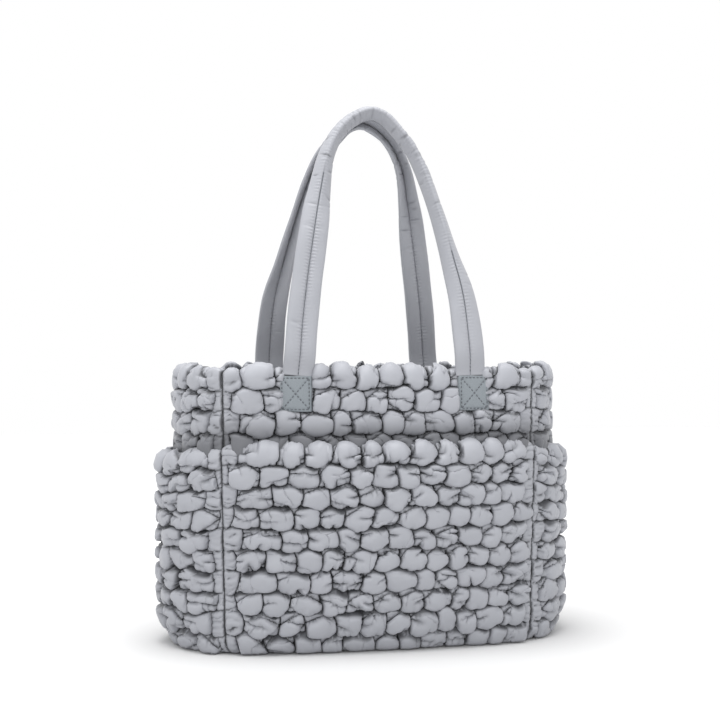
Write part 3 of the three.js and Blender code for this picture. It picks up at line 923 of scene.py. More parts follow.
# %% [markdown]
# ## The quilted walls
# Ten rows of puffs make the front pocket and the side pockets. The body shows three rows above
# them and has a fourth behind their mouths, and the back has thirteen. Cloth further down behind
# a pocket is left plain, and a lid keeps the puffs behind a mouth from pushing through it.

# %% Quilted wall
WALL = 2.4
PLAIN_LINES = 24
SEWN_DOWN_FROM = 253.0
FLOOR_MARGIN = 1.5
ROW_RAISE = 4.0
MEASURED_AT = 150
LEAST_DOWN = 0.02
BARE_EDGE = 0.7
BARE_COLUMN = {"left": 0, "right": -1}


def floor_lid(course, s):
    """How far a puff may stand out at the length s along a course and stay above the floor: its
    room over the floor, divided by how far the wall faces down."""
    length, (outs, heights) = course
    z = np.interp(s, length, heights)
    down = np.interp(s, length, np.gradient(outs, length))
    room = np.maximum(z - FLOOR_MARGIN, 0)
    faces_floor = (down > LEAST_DOWN) & (z < TUCK_TOP)
    return np.where(faces_floor, room / np.maximum(down, LEAST_DOWN), NO_LID)


def quilted_wall(
    name, side, course, rows, puffs, seed, gradient=0.0,
    pocket=None, plain=0.0, ceiling=None, feet=(), shade=None,
):
    """One quilted wall. The sheet is stuffed flat, x is turned into u and y into the length s
    along the course, and the points are surface(u, s) + w * normal(u, s)."""
    room, sag = (pocket["room"], pocket["sag"]) if pocket else (0.0, 0.0)
    bare = BARE_COLUMN.get(side) if pocket else None
    rng = np.random.default_rng(seed)
    side = SIDES[side]
    length, (_, heights) = course
    span = 2 * (half_width(MEASURED_AT) if side["long"] else HALF_DEPTH)
    bow = bow_at(FRONT_BOW if side["long"] else GUSSET_BOW, MEASURED_AT) + room
    width = even_share(0, bow, span)[1]
    height = length[-1] - plain
    row_lines = np.linspace(0, height, rows + 1)
    row_lines[1:-1] += ROW_RAISE
    layout = stitch_layout(width, row_lines, puffs, gradient, rng)

    def lid(x, y):
        """The floor's lid, and the one that this wall asks for."""
        floor = floor_lid(course, y + plain)
        z = np.interp(y + plain, length, heights)
        return np.minimum(floor, ceiling(x / width, z)) if ceiling else floor

    at = [width * (0.5 + foot / span) for foot in feet]
    foot_y = length_at(course, SEWN_DOWN_FROM) - plain
    sheet, share, light_opening = stuff_sheet(width, height, layout, rng, lid, at, foot_y)

    # The cut cloth's own grid, with a few plain lines below the quilting.
    lines, columns = share.shape
    cloth = np.stack(np.meshgrid(np.linspace(0, width, columns), np.linspace(0, height, lines)))
    below = np.linspace(0, plain, PLAIN_LINES, endpoint=False) if plain else np.zeros(0)
    flat = np.stack(np.meshgrid(cloth[0, 0], below - plain))
    cloth = np.concatenate([flat, cloth], axis=1)
    sheet = np.concatenate([np.concatenate([flat, 0 * flat[:1]]), sheet], axis=1)
    share, light_opening = (np.concatenate([np.ones(flat[0].shape), v]) for v in (share, light_opening))

    # Cloth just above a pocket's mouth lies in its shade.
    if shade:
        light_opening = light_opening * shade(sheet[0] / width, np.interp(sheet[1] + plain, length, heights))

    # A pocket's edge at the back corner is bare, so little shadow lies on it.
    if bare is not None:
        light_opening[:, bare] = BARE_EDGE

    surface = wall_surface(side, course, room, sag)
    u, s = even_share(sheet[0] / width, bow, span)[0], sheet[1] + plain
    backing = surface(u, s)
    outer = backing + sheet[2] * surface_normal(surface, u, s)
    outer[2] = np.maximum(outer[2], np.minimum(backing[2], FLOOR_MARGIN))
    coarse = cloth[:, ::LINING_STEP, ::LINING_STEP]
    u, s = even_share(coarse[0] / width, bow, span)[0], coarse[1] + plain
    lining = surface(u, s) - WALL * surface_normal(surface, u, s)
    highest = round(float(sheet[2].max()), 1)
    print(name, "cloth in mm:", round(width), "x", round(length[-1]), "highest puff:", highest)
    return make_shell(name, outer, lining, cloth, {"share": share, "light_opening": light_opening})


# %% Pockets
HEM_ANGLE = -64.0
POCKET_EDGE = 3.0
POCKET_ROWS = 10
LONG_PUFFS = 12
SHORT_PUFFS = 6
FRONT_POCKET = {"top": 214.0, "room": 13.0, "sag": 2.0}
SIDE_POCKET = {"top": 210.0, "room": 17.0, "sag": 11.0}

quilted = []
for name, side, kind, puffs, gradient, seed in (
    # puffs in a row, how much they narrow from left to right, and the seed of their random values
    ("front_pocket", "front", FRONT_POCKET, LONG_PUFFS, 0.14, 11),
    ("left_pocket", "left", SIDE_POCKET, SHORT_PUFFS, 0.0, 12),
    ("right_pocket", "right", SIDE_POCKET, SHORT_PUFFS, 0.0, 13),
):
    course = wall_course(TUCK_RADIUS + POCKET_EDGE, HEM_ANGLE, kind["top"])
    piece = quilted_wall(f"{name}_quilt", side, course, POCKET_ROWS, puffs, seed, gradient, kind)
    quilted.append((piece, name))

# %% [markdown]
# The body's own panels go on down behind the pockets, where a puff has little room. A lid keeps it
# low there, and flat under a strap's foot. The cloth just above a pocket's mouth lies in the shade
# of the puffs below it. The soft light of a studio would leave it too bright to show the pocket's
# edge, so the shade is marked on the cloth.

# %% Lids and shade of the body panels
STRAP_WIDTH = 33.0
STRAP_SPREAD = 94.0
STRAP_SHIFT = 4.0
STRAP_FEET = (STRAP_SHIFT - STRAP_SPREAD, STRAP_SHIFT + STRAP_SPREAD)
SEWN_DOWN_HEIGHT = 4.0
SEWN_DOWN_SLOPE = 2.2
BEHIND_LEAST = 0.3
BEHIND_SHARE = 0.85
MOUTH_SLOPE = 2.5
MOUTH_DARK = 0.36
MOUTH_REACH = (8.0, 38.0)


def above_mouth(pocket, u, z):
    """Height above a pocket's mouth, which sags in an arch."""
    return z - pocket["top"] + pocket["sag"] * arch(u)


def behind_pocket(pocket):
    """A lid for cloth behind a pocket: the room that the bowed pocket leaves, then free above
    its mouth."""
    def lid(u, z):
        above = np.maximum(above_mouth(pocket, u, z), 0)
        return BEHIND_LEAST + BEHIND_SHARE * pocket["room"] * arch(u) + MOUTH_SLOPE * above

    return lid


def mouth_shade(pocket):
    """How open to the light the cloth behind a pocket's mouth is: a smooth step up to 1 over
    the first puffs above the mouth."""
    def shade(u, z):
        return MOUTH_DARK + (1 - MOUTH_DARK) * rise(above_mouth(pocket, u, z), *MOUTH_REACH)

    return shade


def under_straps(u, z):
    """A lid that holds the quilting down under a strap's foot and its patch."""
    x = (2 * u - 1) * half_width(z)
    beside = np.minimum(np.abs(x - STRAP_FEET[0]), np.abs(x - STRAP_FEET[1]))
    beside = np.maximum(beside - FOOT_HALF, 0)
    below = np.maximum(SEWN_DOWN_FROM - z, 0)
    return SEWN_DOWN_HEIGHT + SEWN_DOWN_SLOPE * np.hypot(beside, below)


def front_lid(u, z):
    """The straps' lid and the front pocket's lid together."""
    return np.minimum(under_straps(u, z), behind_pocket(FRONT_POCKET)(u, z))


# %% Body panels
BACKING_RIM = 293.5
BASE_ANGLE = -90.0
QUILT_FROM = 202.0
UPPER_ROWS = 4
BACK_ROWS = 13

body_course = wall_course(TUCK_RADIUS, BASE_ANGLE, BACKING_RIM)
plain_length = length_at(body_course, QUILT_FROM)
side_lid = behind_pocket(SIDE_POCKET)
behind_front = {"plain": plain_length, "ceiling": front_lid, "shade": mouth_shade(FRONT_POCKET)}
behind_side = {"plain": plain_length, "ceiling": side_lid, "shade": mouth_shade(SIDE_POCKET)}
for name, side, rows, puffs, gradient, seed, feet, options in (
    ("front_panel", "front", UPPER_ROWS, LONG_PUFFS, 0.1, 21, STRAP_FEET, behind_front),
    ("back_panel", "back", BACK_ROWS, LONG_PUFFS, 0.0, 22, STRAP_FEET, {"ceiling": under_straps}),
    ("left_gusset", "left", UPPER_ROWS, SHORT_PUFFS, 0.0, 23, (), behind_side),
    ("right_gusset", "right", UPPER_ROWS, SHORT_PUFFS, 0.0, 24, (), behind_side),
):
    piece = quilted_wall(
        f"{name}_quilt", side, body_course, rows, puffs, seed, gradient, feet=feet, **options
    )
    quilted.append((piece, name))

# %% [markdown]
# ## The handles
# A handle is a strap of two padded channels with a line of stitching between them. It rises
# from one patch, arches over and comes down to the other, and near the top both channels fold
# back along the stitching. The strap is a profile carried along a path: the path is a smooth
# curve through a few listed points in a plane that leans in towards the bag's middle.

# %% Course of a strap
STRAP_FRONT = 4.6
STRAP_BACK = 3.8
STRAP_FOOT_HEIGHT = 290.0
STRAP_FOOT_CLEARANCE = 2.0
HANDLE_RIDGE = 17.0
STRAP_COURSE = np.array([
    # across as a share of the spread, rise as a share of the drop, fold in degrees
    (-1.00, 0.000, 0), (-0.94, 0.180, 0), (-0.87, 0.330, 2), (-0.76, 0.524, 14),
    (-0.66, 0.684, 44), (-0.54, 0.836, 62), (-0.37, 0.928, 66), (-0.19, 0.977, 66),
    (0.00, 1.000, 66), (0.16, 0.984, 66), (0.30, 0.938, 66), (0.46, 0.870, 66),
    (0.60, 0.768, 66), (0.75, 0.604, 64), (0.865, 0.444, 50), (0.96, 0.284, 24),
    (1.00, 0.000, 0),
])
POINTS_PER_SPAN = 60
STRAP_LINES = 1100


def foot_point(x, out, z):
    """A point over the sewn-down quilting of the front panel."""
    u = 0.5 + x / (2 * half_width(z))
    return side_point(SIDES["front"], u, SEWN_DOWN_HEIGHT + SEAM_GAP + out, z, 0.0)


def smooth_path(knots, per_span):
    """A curve through the knots: cubic pieces whose end slopes weigh the neighbouring chords by
    the square roots of their lengths."""
    ends = 2 * knots[0] - knots[1], 2 * knots[-1] - knots[-2]
    p = np.concatenate([ends[:1], knots, ends[1:]])
    p0, p1, p2, p3 = p[:-3], p[1:-2], p[2:-1], p[3:]
    chords = (p1 - p0, p2 - p1, p3 - p2)
    d0, d1, d2 = (np.sqrt(np.linalg.norm(chord, axis=1))[:, None] for chord in chords)
    m1 = d1 * ((p1 - p0) / d0 - (p2 - p0) / (d0 + d1)) + (p2 - p1)
    m2 = d1 * ((p3 - p2) / d2 - (p3 - p1) / (d1 + d2)) + (p2 - p1)
    t = np.linspace(0, 1, per_span, endpoint=False)[None, :, None]
    p1, p2, m1, m2 = (v[:, None, :] for v in (p1, p2, m1, m2))
    curve = (2 * t**3 - 3 * t**2 + 1) * p1 + (t**3 - 2 * t**2 + t) * m1
    curve = curve + (3 * t**2 - 2 * t**3) * p2 + (t**3 - t**2) * m2
    return np.concatenate([curve.reshape(-1, knots.shape[1]), knots[-1:]])


def strap_path(drop):
    """Places along a strap at even lengths, with its directions: along it, across it towards the
    inside of the arch, and out of its face; and the fold and the length at each place."""
    depth = -foot_point(STRAP_SPREAD, STRAP_BACK + STRAP_FOOT_CLEARANCE, STRAP_FOOT_HEIGHT)[1]
    lean = np.array([0, depth - HANDLE_RIDGE, drop])
    across, up, fold = STRAP_COURSE.T
    foot = np.array([STRAP_SHIFT, -depth, STRAP_FOOT_HEIGHT])
    knots = foot + STRAP_SPREAD * across[:, None] * [1, 0, 0]
    knots = np.concatenate([knots + up[:, None] * lean, fold[:, None]], axis=1)
    dense = smooth_path(knots, POINTS_PER_SPAN)
    run = np.concatenate([[0], np.cumsum(np.linalg.norm(np.diff(dense[:, :3], axis=0), axis=1))])
    even = np.linspace(0, run[-1], STRAP_LINES)
    place = np.stack([np.interp(even, run, column) for column in dense.T], axis=1)
    along = np.gradient(place[:, :3], axis=0)
    along /= np.linalg.norm(along, axis=1)[:, None]
    face = np.array([0, -lean[2], lean[1]]) / np.hypot(lean[1], lean[2])
    return {
        "place": place[:, :3], "along": along, "across": np.cross(along, face), "face": face,
        "fold": np.radians(place[:, 3]), "run": even,
    }


# %% [markdown]
# The section of one channel is half an ellipse with full shoulders. The stitching pulls a
# groove between the channels, with a pucker at each stitch, and soft creases cross the strap
# where it bends. At the feet the padding is left out, so that the end can be sewn flat under
# its patch.

# %% Creases of a strap
# Places, depths and reaches are shares of the strap. A slant and a width are in mm.
STRAP_CREASES = 70
CREASE_SPREAD = 0.15
CREASE_ENDS = (0.03, 0.97)
CREASE_SLANT = 5
CREASE_DEPTH = (0.08, 0.32)
CREASE_REACH = (0.25, 0.6)
CREASE_WIDTH = (0.9, 2.2)


def strap_creases(run, side, rng):
    """Depth of the creases as a share of the thickness: each is a bell over part of the strap's
    width times a narrow bell along a slanting line. Most of them lie near the top."""
    crease = np.zeros((len(run), len(side)))
    for _ in range(STRAP_CREASES):
        middle = run[-1, 0] * np.clip(rng.normal(0.5, CREASE_SPREAD), *CREASE_ENDS)
        slant, depth = rng.uniform(-CREASE_SLANT, CREASE_SLANT), rng.uniform(*CREASE_DEPTH)
        at, reach = rng.uniform(-1, 1), rng.uniform(*CREASE_REACH)
        across = np.exp(-(((side - at) / reach) ** 2))
        along = (run - middle - slant * side) / rng.uniform(*CREASE_WIDTH)
        crease += depth * across * np.exp(-(along**2))
    return crease


# %% Strap surface
# Shares of the strap's width or thickness, apart from lengths in mm and folds in degrees.
CHANNEL_LINES = 14
FRONT_LINES = 2 * CHANNEL_LINES - 1
SHOULDER = 0.72
GROOVE = 0.16
NOSE = 0.62
TUBE_FOLD = (40, 62)
FOLD_PRESS = 0.35
LEAST_ACROSS = 0.05
FOOT_FLAT = 16.0
FOOT_THINNING = 0.62
FOOT_SINK = 6.5
STITCH_PITCH = 3.8
PUCKER = (0.05, 0.1)
PUCKER_LENGTHS = (17, 41)
PUCKER_REACH = 0.24
WOBBLE = (0.06, 0.05)
WOBBLE_LENGTHS = (23, 11)
WOBBLE_PHASE = 6
WIDTH_CHANGE = (0.012, 0.008)
WIDTH_LENGTHS = (31, 9.5)


def folded(turn):
    """How far a strap has become one round tube: a smooth step between two folds in degrees."""
    return rise(np.degrees(turn), *TUBE_FOLD)


def foot_distance(run):
    """Length from each place to the nearer end of the strap."""
    return np.minimum(run, run[-1] - run)


def strap_section(path, rng):
    """Across and face offsets of the strap's section at each place, shape (places, points), and
    its creases: q runs over each half from the stitching to the edge, and the height is a power
    of a sine."""
    q = 0.5 - 0.5 * np.cos(np.linspace(0, np.pi, CHANNEL_LINES))
    side = np.concatenate([-q[::-1], q[1:]])
    side = np.concatenate([side, side[-2:0:-1]])
    front = np.arange(len(side)) < FRONT_LINES

    run, turn = path["run"][:, None], path["fold"][:, None]
    flat = np.exp(-((foot_distance(run) / FOOT_FLAT) ** 2))
    groove = GROOVE + (NOSE - GROOVE) * folded(turn) * front
    height = np.sin(np.arccos(1 - 2 * np.abs(side))) ** SHOULDER
    height = np.maximum(height, groove * (np.abs(side) < 0.5))
    thick = np.where(front, STRAP_FRONT, STRAP_BACK) * (1 - FOOT_THINNING * flat)
    thick = thick * (1 - FOLD_PRESS * np.sin(turn))

    # Creases, puckers at the stitches and slow waves change the thickness.
    crease = strap_creases(run, side, rng)
    drift = run / PUCKER_LENGTHS[0] + 2 * np.sin(run / PUCKER_LENGTHS[1])
    pull = PUCKER[0] + PUCKER[1] * np.sin(drift) ** 2
    near_stitches = np.exp(-((np.abs(side) / PUCKER_REACH) ** 2))
    pucker = pull * np.cos(2 * np.pi * run / STITCH_PITCH) * near_stitches
    wobble = WOBBLE[0] * np.sin(run / WOBBLE_LENGTHS[0] + 3 * side + rng.uniform(0, WOBBLE_PHASE))
    wobble = wobble + WOBBLE[1] * np.sin(run / WOBBLE_LENGTHS[1] - 2 * side)
    t = np.where(front, 1, -1) * height * thick * (1 + wobble - crease - pucker)

    # Both halves turn back about the stitching by the fold.
    slow, quick = (np.sin(run / length) for length in WIDTH_LENGTHS)
    half = 0.5 * STRAP_WIDTH * (1 + WIDTH_CHANGE[0] * slow + WIDTH_CHANGE[1] * quick)
    r = np.abs(side) * half
    across = np.maximum(r * np.cos(turn) + t * np.sin(turn), LEAST_ACROSS * r)
    face = t * np.cos(turn) - r * np.sin(turn) - FOOT_SINK * flat
    return np.sign(side) * across, face, crease


def strap_points(path, across, face):
    """Points of the strap: place + across * sideways + face * outwards."""
    sideways, outwards = path["across"][:, None, :], path["face"]
    return path["place"][:, None, :] + across[..., None] * sideways + face[..., None] * outwards


def ring_faces(rings, sides, caps):
    """Faces of a tube of rings, closed at both ends by a ladder between its front and back."""
    grid = np.arange(rings * sides).reshape(rings, sides)
    following = np.roll(grid, -1, axis=1)
    tube = np.stack([grid[:-1], grid[1:], following[1:], following[:-1]], -1).reshape(-1, 4)
    front = np.arange(1, caps - 2)
    back = sides - front
    ladder = np.stack([front, front + 1, back - 1, back], -1)
    ends = np.array([[0, 1, sides - 1], [caps - 2, caps - 1, caps]])
    last = (rings - 1) * sides
    return [tube, ladder, ends, last + ladder[:, ::-1], last + ends[:, ::-1]]


# %% [markdown]
# ## Stitches
# The thread shows as a row of short dark dashes. Each stitch is a tiny rounded bar, worked out
# once and copied to every place by one array sum, so thousands cost little.

# %% Stitch bars
STITCH_SIDES = 6
STITCH_PROFILE = np.array([
    # place along the bar as a share of its length, and size of the ring there
    (-0.5, 0.35), (-0.36, 0.9), (0.0, 1.0), (0.36, 0.9), (0.5, 0.35),
])


def make_stitches(name, places, along, outwards, length, radius):
    """Bars at places, shape (n, 3), each along * share * length plus a ring of the given radius."""
    angle = np.linspace(0, 2 * np.pi, STITCH_SIDES, endpoint=False)[:, None]
    beside = np.cross(along, outwards)[:, None, None, :]
    share, size = STITCH_PROFILE.T
    ring = np.cos(angle) * outwards[:, None, None, :] + np.sin(angle) * beside
    points = places[:, None, None, :] + length * share[:, None, None] * along[:, None, None, :]
    points = points + radius * size[:, None, None] * ring
    rings = len(share)
    one = np.arange(rings * STITCH_SIDES).reshape(rings, STITCH_SIDES)
    following = np.roll(one, -1, axis=1)
    bar = np.stack([one[:-1], following[:-1], following[1:], one[1:]], -1).reshape(-1, 4)
    caps = np.stack([one[0][::-1], one[-1]])
    shift = (np.arange(len(places)) * one.size)[:, None, None]
    faces = [(bar + shift).reshape(-1, 4), (caps + shift).reshape(-1, STITCH_SIDES)]
    return make_mesh(name, points.reshape(-1, 3), faces)


# %% [markdown]
# The strap's mesh is a tube of rings. It carries the same two marks as the quilting, so that one
# finish serves both: here painted shade darkens the groove, the creases and the feet, where the
# strap ends at its patch. The stitches follow the groove on both faces, and end where the fold
# hides them.

# %% Strap and its stitching
RING_STEP = 1.3
# Painted shade on the strap: these shares darken the groove, the creases and the feet.
GROOVE_DARK = 0.06
CREASE_DARK = 0.45
CREASE_FROM = 0.12
CREASE_OVER = 0.25
FOOT_DARK = 1.6
STITCHED_BELOW = 0.6
STRAP_STITCH = 3.1
STRAP_THREAD = 0.7
STRAP_THREAD_LIFT = 0.15


def turned(points, side):
    """Points turned about the upright axis to stand on a side."""
    c, s = math.cos(side["turn"]), math.sin(side["turn"])
    x, y, z = np.moveaxis(points, -1, 0)
    return np.stack([c * x - s * y, s * x + c * y, z], -1)


def strap_mesh(name, path, points, crease):
    """The strap as a tube of rings. It is marked with the share of the way from the stitching to
    the edge, and with the light: dark in the groove, in the creases and at the feet."""
    rings, sides = crease.shape
    run = path["run"][:, None]
    uv = np.stack(np.broadcast_arrays(np.arange(sides) * RING_STEP, run), -1)
    edge = np.abs(np.linspace(-1, 1, FRONT_LINES))
    share = np.broadcast_to(np.concatenate([edge, edge[-2:0:-1]]), crease.shape)
    creased = CREASE_DARK * np.clip((crease - CREASE_FROM) / CREASE_OVER, 0, 1)
    light_opening = np.maximum(np.clip(share / GROOVE_DARK, 0, 1), folded(path["fold"])[:, None])
    light_opening = light_opening * (1 - creased) * np.clip(foot_distance(run) / FOOT_DARK, 0, 1)
    return make_mesh(
        name, points.reshape(-1, 3), ring_faces(rings, sides, FRONT_LINES),
        uv=UV_SCALE * uv.reshape(-1, 2), marks={"share": share.ravel(), "light_opening": light_opening.ravel()},
    )


def strap_stitching(name, path, points, side):
    """Stitches in the groove, on the front and on the back, where the strap is still flat."""
    run, face = path["run"], turned(path["face"], side)
    spots = np.arange(FOOT_FLAT / 4, run[-1] - FOOT_FLAT / 4, STITCH_PITCH)
    spots = spots[folded(np.interp(spots, run, path["fold"])) < STITCHED_BELOW]

    def at_spots(values):
        return np.stack([np.interp(spots, run, column) for column in values.T], -1)

    front, back = CHANNEL_LINES - 1, points.shape[1] - CHANNEL_LINES + 1
    lift = STRAP_THREAD_LIFT * face
    lie = np.concatenate([at_spots(points[:, front]) + lift, at_spots(points[:, back]) - lift])
    ahead = np.tile(turned(at_spots(path["along"]), side), (2, 1))
    out = np.repeat([face, -face], len(spots), axis=0)
    return make_stitches(name, lie, ahead, out, STRAP_STITCH, STRAP_THREAD)


# %% Handles
handles, stitchings = [], []
for name, drop, seed in (
    # side, height of the arch above the patches in mm, and the seed of the creases
    ("front", 295.0, 31),
    ("back", 286.0, 32),
):
    path = strap_path(drop)
    across, face, crease = strap_section(path, np.random.default_rng(seed))
    points = turned(strap_points(path, across, face), SIDES[name])
    handles.append((strap_mesh(f"{name}_handle_strap", path, points, crease), f"{name}_handle"))
    stitchings.append(strap_stitching(f"{name}_handle_stitching", path, points, SIDES[name]))
    print(f"{name} handle: strap in mm {path['run'][-1]:.0f}")

# %% [markdown]
# ## The patches
# A square of twill is sewn over each strap's foot with a box of stitches and two diagonals.
# The cloth is thin but not flat: its edges are turned under, so they are round, and every line
# of stitching presses a shallow groove into it.

# %% Patch surface
PATCH_HEIGHT = 38.0
PATCH_THICKNESS = 1.9
PATCH_CELLS = (36, 40)
PATCH_EDGE = 1.6
PATCH_PUFF = 0.35
PATCH_GROOVE = 0.55
PATCH_GROOVE_REACH = 0.9
BOX_INSET = 2.6
BOX = (0.5 * STRAP_WIDTH - BOX_INSET, 0.5 * PATCH_HEIGHT - BOX_INSET)
FAR_FROM_STITCHES = 9.0


def patch_outline_distance(a, b):
    """Distance in millimetres from the nearest line of stitching at the place (a, b) on a patch:
    the box is an inset rectangle, and the diagonals join its corners."""
    w, h = BOX
    out = np.maximum(np.abs(a) / w, np.abs(b) / h)
    cross = np.abs(np.abs(a) * h - np.abs(b) * w) / np.hypot(w, h)
    return np.minimum(np.abs(out - 1) * w, np.where(out < 1, cross, FAR_FROM_STITCHES))


def round_edge(distance, radius):
    """A quarter circle from 0 at an edge to 1 at a radius from it."""
    return np.sqrt(np.clip(1 - (1 - np.clip(distance / radius, 0, 1)) ** 2, 0, 1))


def patch_out(a, b):
    """How far a patch's face stands out: its thickness with round edges, less the grooves."""
    edge = np.minimum(0.5 * STRAP_WIDTH - np.abs(a), 0.5 * PATCH_HEIGHT - np.abs(b))
    puff = PATCH_PUFF * np.cos(np.pi * a / STRAP_WIDTH) * np.cos(np.pi * b / PATCH_HEIGHT)
    groove = np.exp(-((patch_outline_distance(a, b) / PATCH_GROOVE_REACH) ** 2))
    return PATCH_THICKNESS * round_edge(edge, PATCH_EDGE) + puff - PATCH_GROOVE * groove


def on_patch(foot, a, b, out):
    """A point over a patch whose middle is at foot, given by its place (a, b) on the patch."""
    return foot_point(foot + a, out, STRAP_FOOT_HEIGHT - SEAM_GAP - 0.5 * PATCH_HEIGHT + b)


# %% Stitches of a patch
PATCH_STITCH_PITCH = 3.9
PATCH_STITCH = 2.4
PATCH_THREAD = 0.75
PATCH_THREAD_LIFT = 0.1


def stitch_run(start, end):
    """Evenly spaced places from start to end on a patch, and the direction of the run."""
    start, way = np.array(start), np.array(end) - np.array(start)
    length = np.linalg.norm(way)
    count = round(float(length) / PATCH_STITCH_PITCH)
    t = (np.arange(count) + 0.5) / count
    return start + t[:, None] * way, np.tile(way / length, (count, 1))


def box_and_cross():
    """Places and directions of every stitch of a patch: four sides and two diagonals."""
    w, h = BOX
    corners = [(-w, -h), (w, -h), (w, h), (-w, h)]
    joined = ((0, 1), (1, 2), (2, 3), (3, 0), (0, 2), (1, 3))
    runs = [stitch_run(corners[i], corners[j]) for i, j in joined]
    return np.concatenate([r[0] for r in runs]), np.concatenate([r[1] for r in runs])


# %% Patches
PATCH_SINK = 0.6
PATCH_SHARE_REACH = 3


def patch_cloth(name, foot, side):
    """The twill of a patch, as a shell that is turned to its side of the bag."""
    a, b = np.meshgrid(
        np.linspace(-0.5, 0.5, PATCH_CELLS[0] + 1) * STRAP_WIDTH,
        np.linspace(-0.5, 0.5, PATCH_CELLS[1] + 1) * PATCH_HEIGHT,
    )
    coarse_a, coarse_b = a[::LINING_STEP, ::LINING_STEP], b[::LINING_STEP, ::LINING_STEP]
    outer = on_patch(foot, a, b, patch_out(a, b))
    lining = on_patch(foot, coarse_a, coarse_b, 0 * coarse_a - PATCH_SINK)
    outer, lining = (np.moveaxis(turned(np.moveaxis(v, 0, -1), side), -1, 0) for v in (outer, lining))
    share = np.clip(patch_outline_distance(a, b) / PATCH_SHARE_REACH, 0, 1)
    return make_shell(name, outer, lining, np.stack([a, b]), {"share": share})


def patch_stitching(name, foot, side):
    """The stitches of a patch, a little above its face."""
    spots, way = box_and_cross()
    a, b = spots.T
    lie = on_patch(foot, a, b, patch_out(a, b) + PATCH_THREAD_LIFT).T
    ahead = np.stack([way[:, 0], 0 * way[:, 0], way[:, 1]], -1)
    out = np.tile([0.0, -1.0, 0.0], (len(lie), 1))
    lie, ahead, out = (turned(v, side) for v in (lie, ahead, out))
    return make_stitches(name, lie, ahead, out, PATCH_STITCH, PATCH_THREAD)


patches = []
for name in ("front", "back"):
    for hand, foot in zip(("left", "right"), STRAP_FEET):
        node = f"{name}_{hand}_patch"
        patches.append((patch_cloth(f"{node}_twill", foot, SIDES[name]), node))
        stitchings.append(patch_stitching(f"{node}_stitching", foot, SIDES[name]))
print("patches:", len(patches), "stitches on each:", len(box_and_cross()[0]))

# %% [markdown]
# ## The base
# The bag stands on one plain panel that fills the outline inside the tucked walls. It is a grid
# stretched between the four bowed edges, with a rounded rim and the groove of a seam near it.

# %% Base panel
BASE_THICKNESS = 4.0
BASE_GAP = 0.6
BASE_INSET = TUCK_RADIUS + BASE_GAP
BASE_CELLS = (120, 60)
BASE_LIFT = 1.6
BASE_EDGE = 3
BASE_SEAM = 9.0
BASE_SEAM_DEPTH = 0.5
BASE_SEAM_REACH = 1.2


def base_place(u, v):
    """x and y on the base: each edge bows out by an arch of the other parameter."""
    x = (2 * u - 1) * (BASE_HALF_WIDTH - BASE_INSET + GUSSET_BOW[0] * arch(v))
    y = (2 * v - 1) * (HALF_DEPTH - BASE_INSET + FRONT_BOW[0] * arch(u))
    return x, y


u, v = np.meshgrid(np.linspace(1, 0, BASE_CELLS[0] + 1), np.linspace(0, 1, BASE_CELLS[1] + 1))
x, y = base_place(u, v)
edge = np.minimum(np.minimum(u, 1 - u) * 2 * BASE_HALF_WIDTH, np.minimum(v, 1 - v) * 2 * HALF_DEPTH)
lifted = BASE_LIFT * (1 - round_edge(edge, BASE_EDGE))
lifted = lifted + BASE_SEAM_DEPTH * np.exp(-(((edge - BASE_SEAM) / BASE_SEAM_REACH) ** 2))
outer = np.stack([x, y, lifted])
inner = np.stack([x, y, np.full(x.shape, BASE_THICKNESS)])[:, ::LINING_STEP, ::LINING_STEP]
share = np.clip(edge / BASE_SEAM, 0, 1)
base = make_shell("base_panel_cloth", outer, inner, np.stack([x, y]), {"share": share})
print("base panel in mm:", round(float(np.ptp(x))), "x", round(float(np.ptp(y))))

# %% [markdown]
# ## Shader maths
# Material nodes are easier to read as sums. The class below wraps a node's output, so that
# Python's own operators add Math nodes, and a finish makes any other node with one method.

# %% Node helpers
# Sockets of a Mix node for colours: both colours and the result.
MIX_A, MIX_B, MIX_RESULT = 6, 7, 2


class Output:
    """A node's output that + - * and ** work on. A number may stand before or after the first three."""

    def __init__(self, finish, socket):
        self.finish = finish
        self.socket = socket

    def maths(self, operation, a, b):
        return self.finish.node("ShaderNodeMath", {"operation": operation}, {0: a, 1: b})

    def __add__(self, other):
        return self.maths("ADD", self, other)

    def __radd__(self, other):
        return self.maths("ADD", other, self)

    def __sub__(self, other):
        return self.maths("SUBTRACT", self, other)

    def __rsub__(self, other):
        return self.maths("SUBTRACT", other, self)

    def __mul__(self, other):
        return self.maths("MULTIPLY", self, other)

    def __rmul__(self, other):
        return self.maths("MULTIPLY", other, self)

    def __pow__(self, other):
        return self.maths("POWER", self, other)


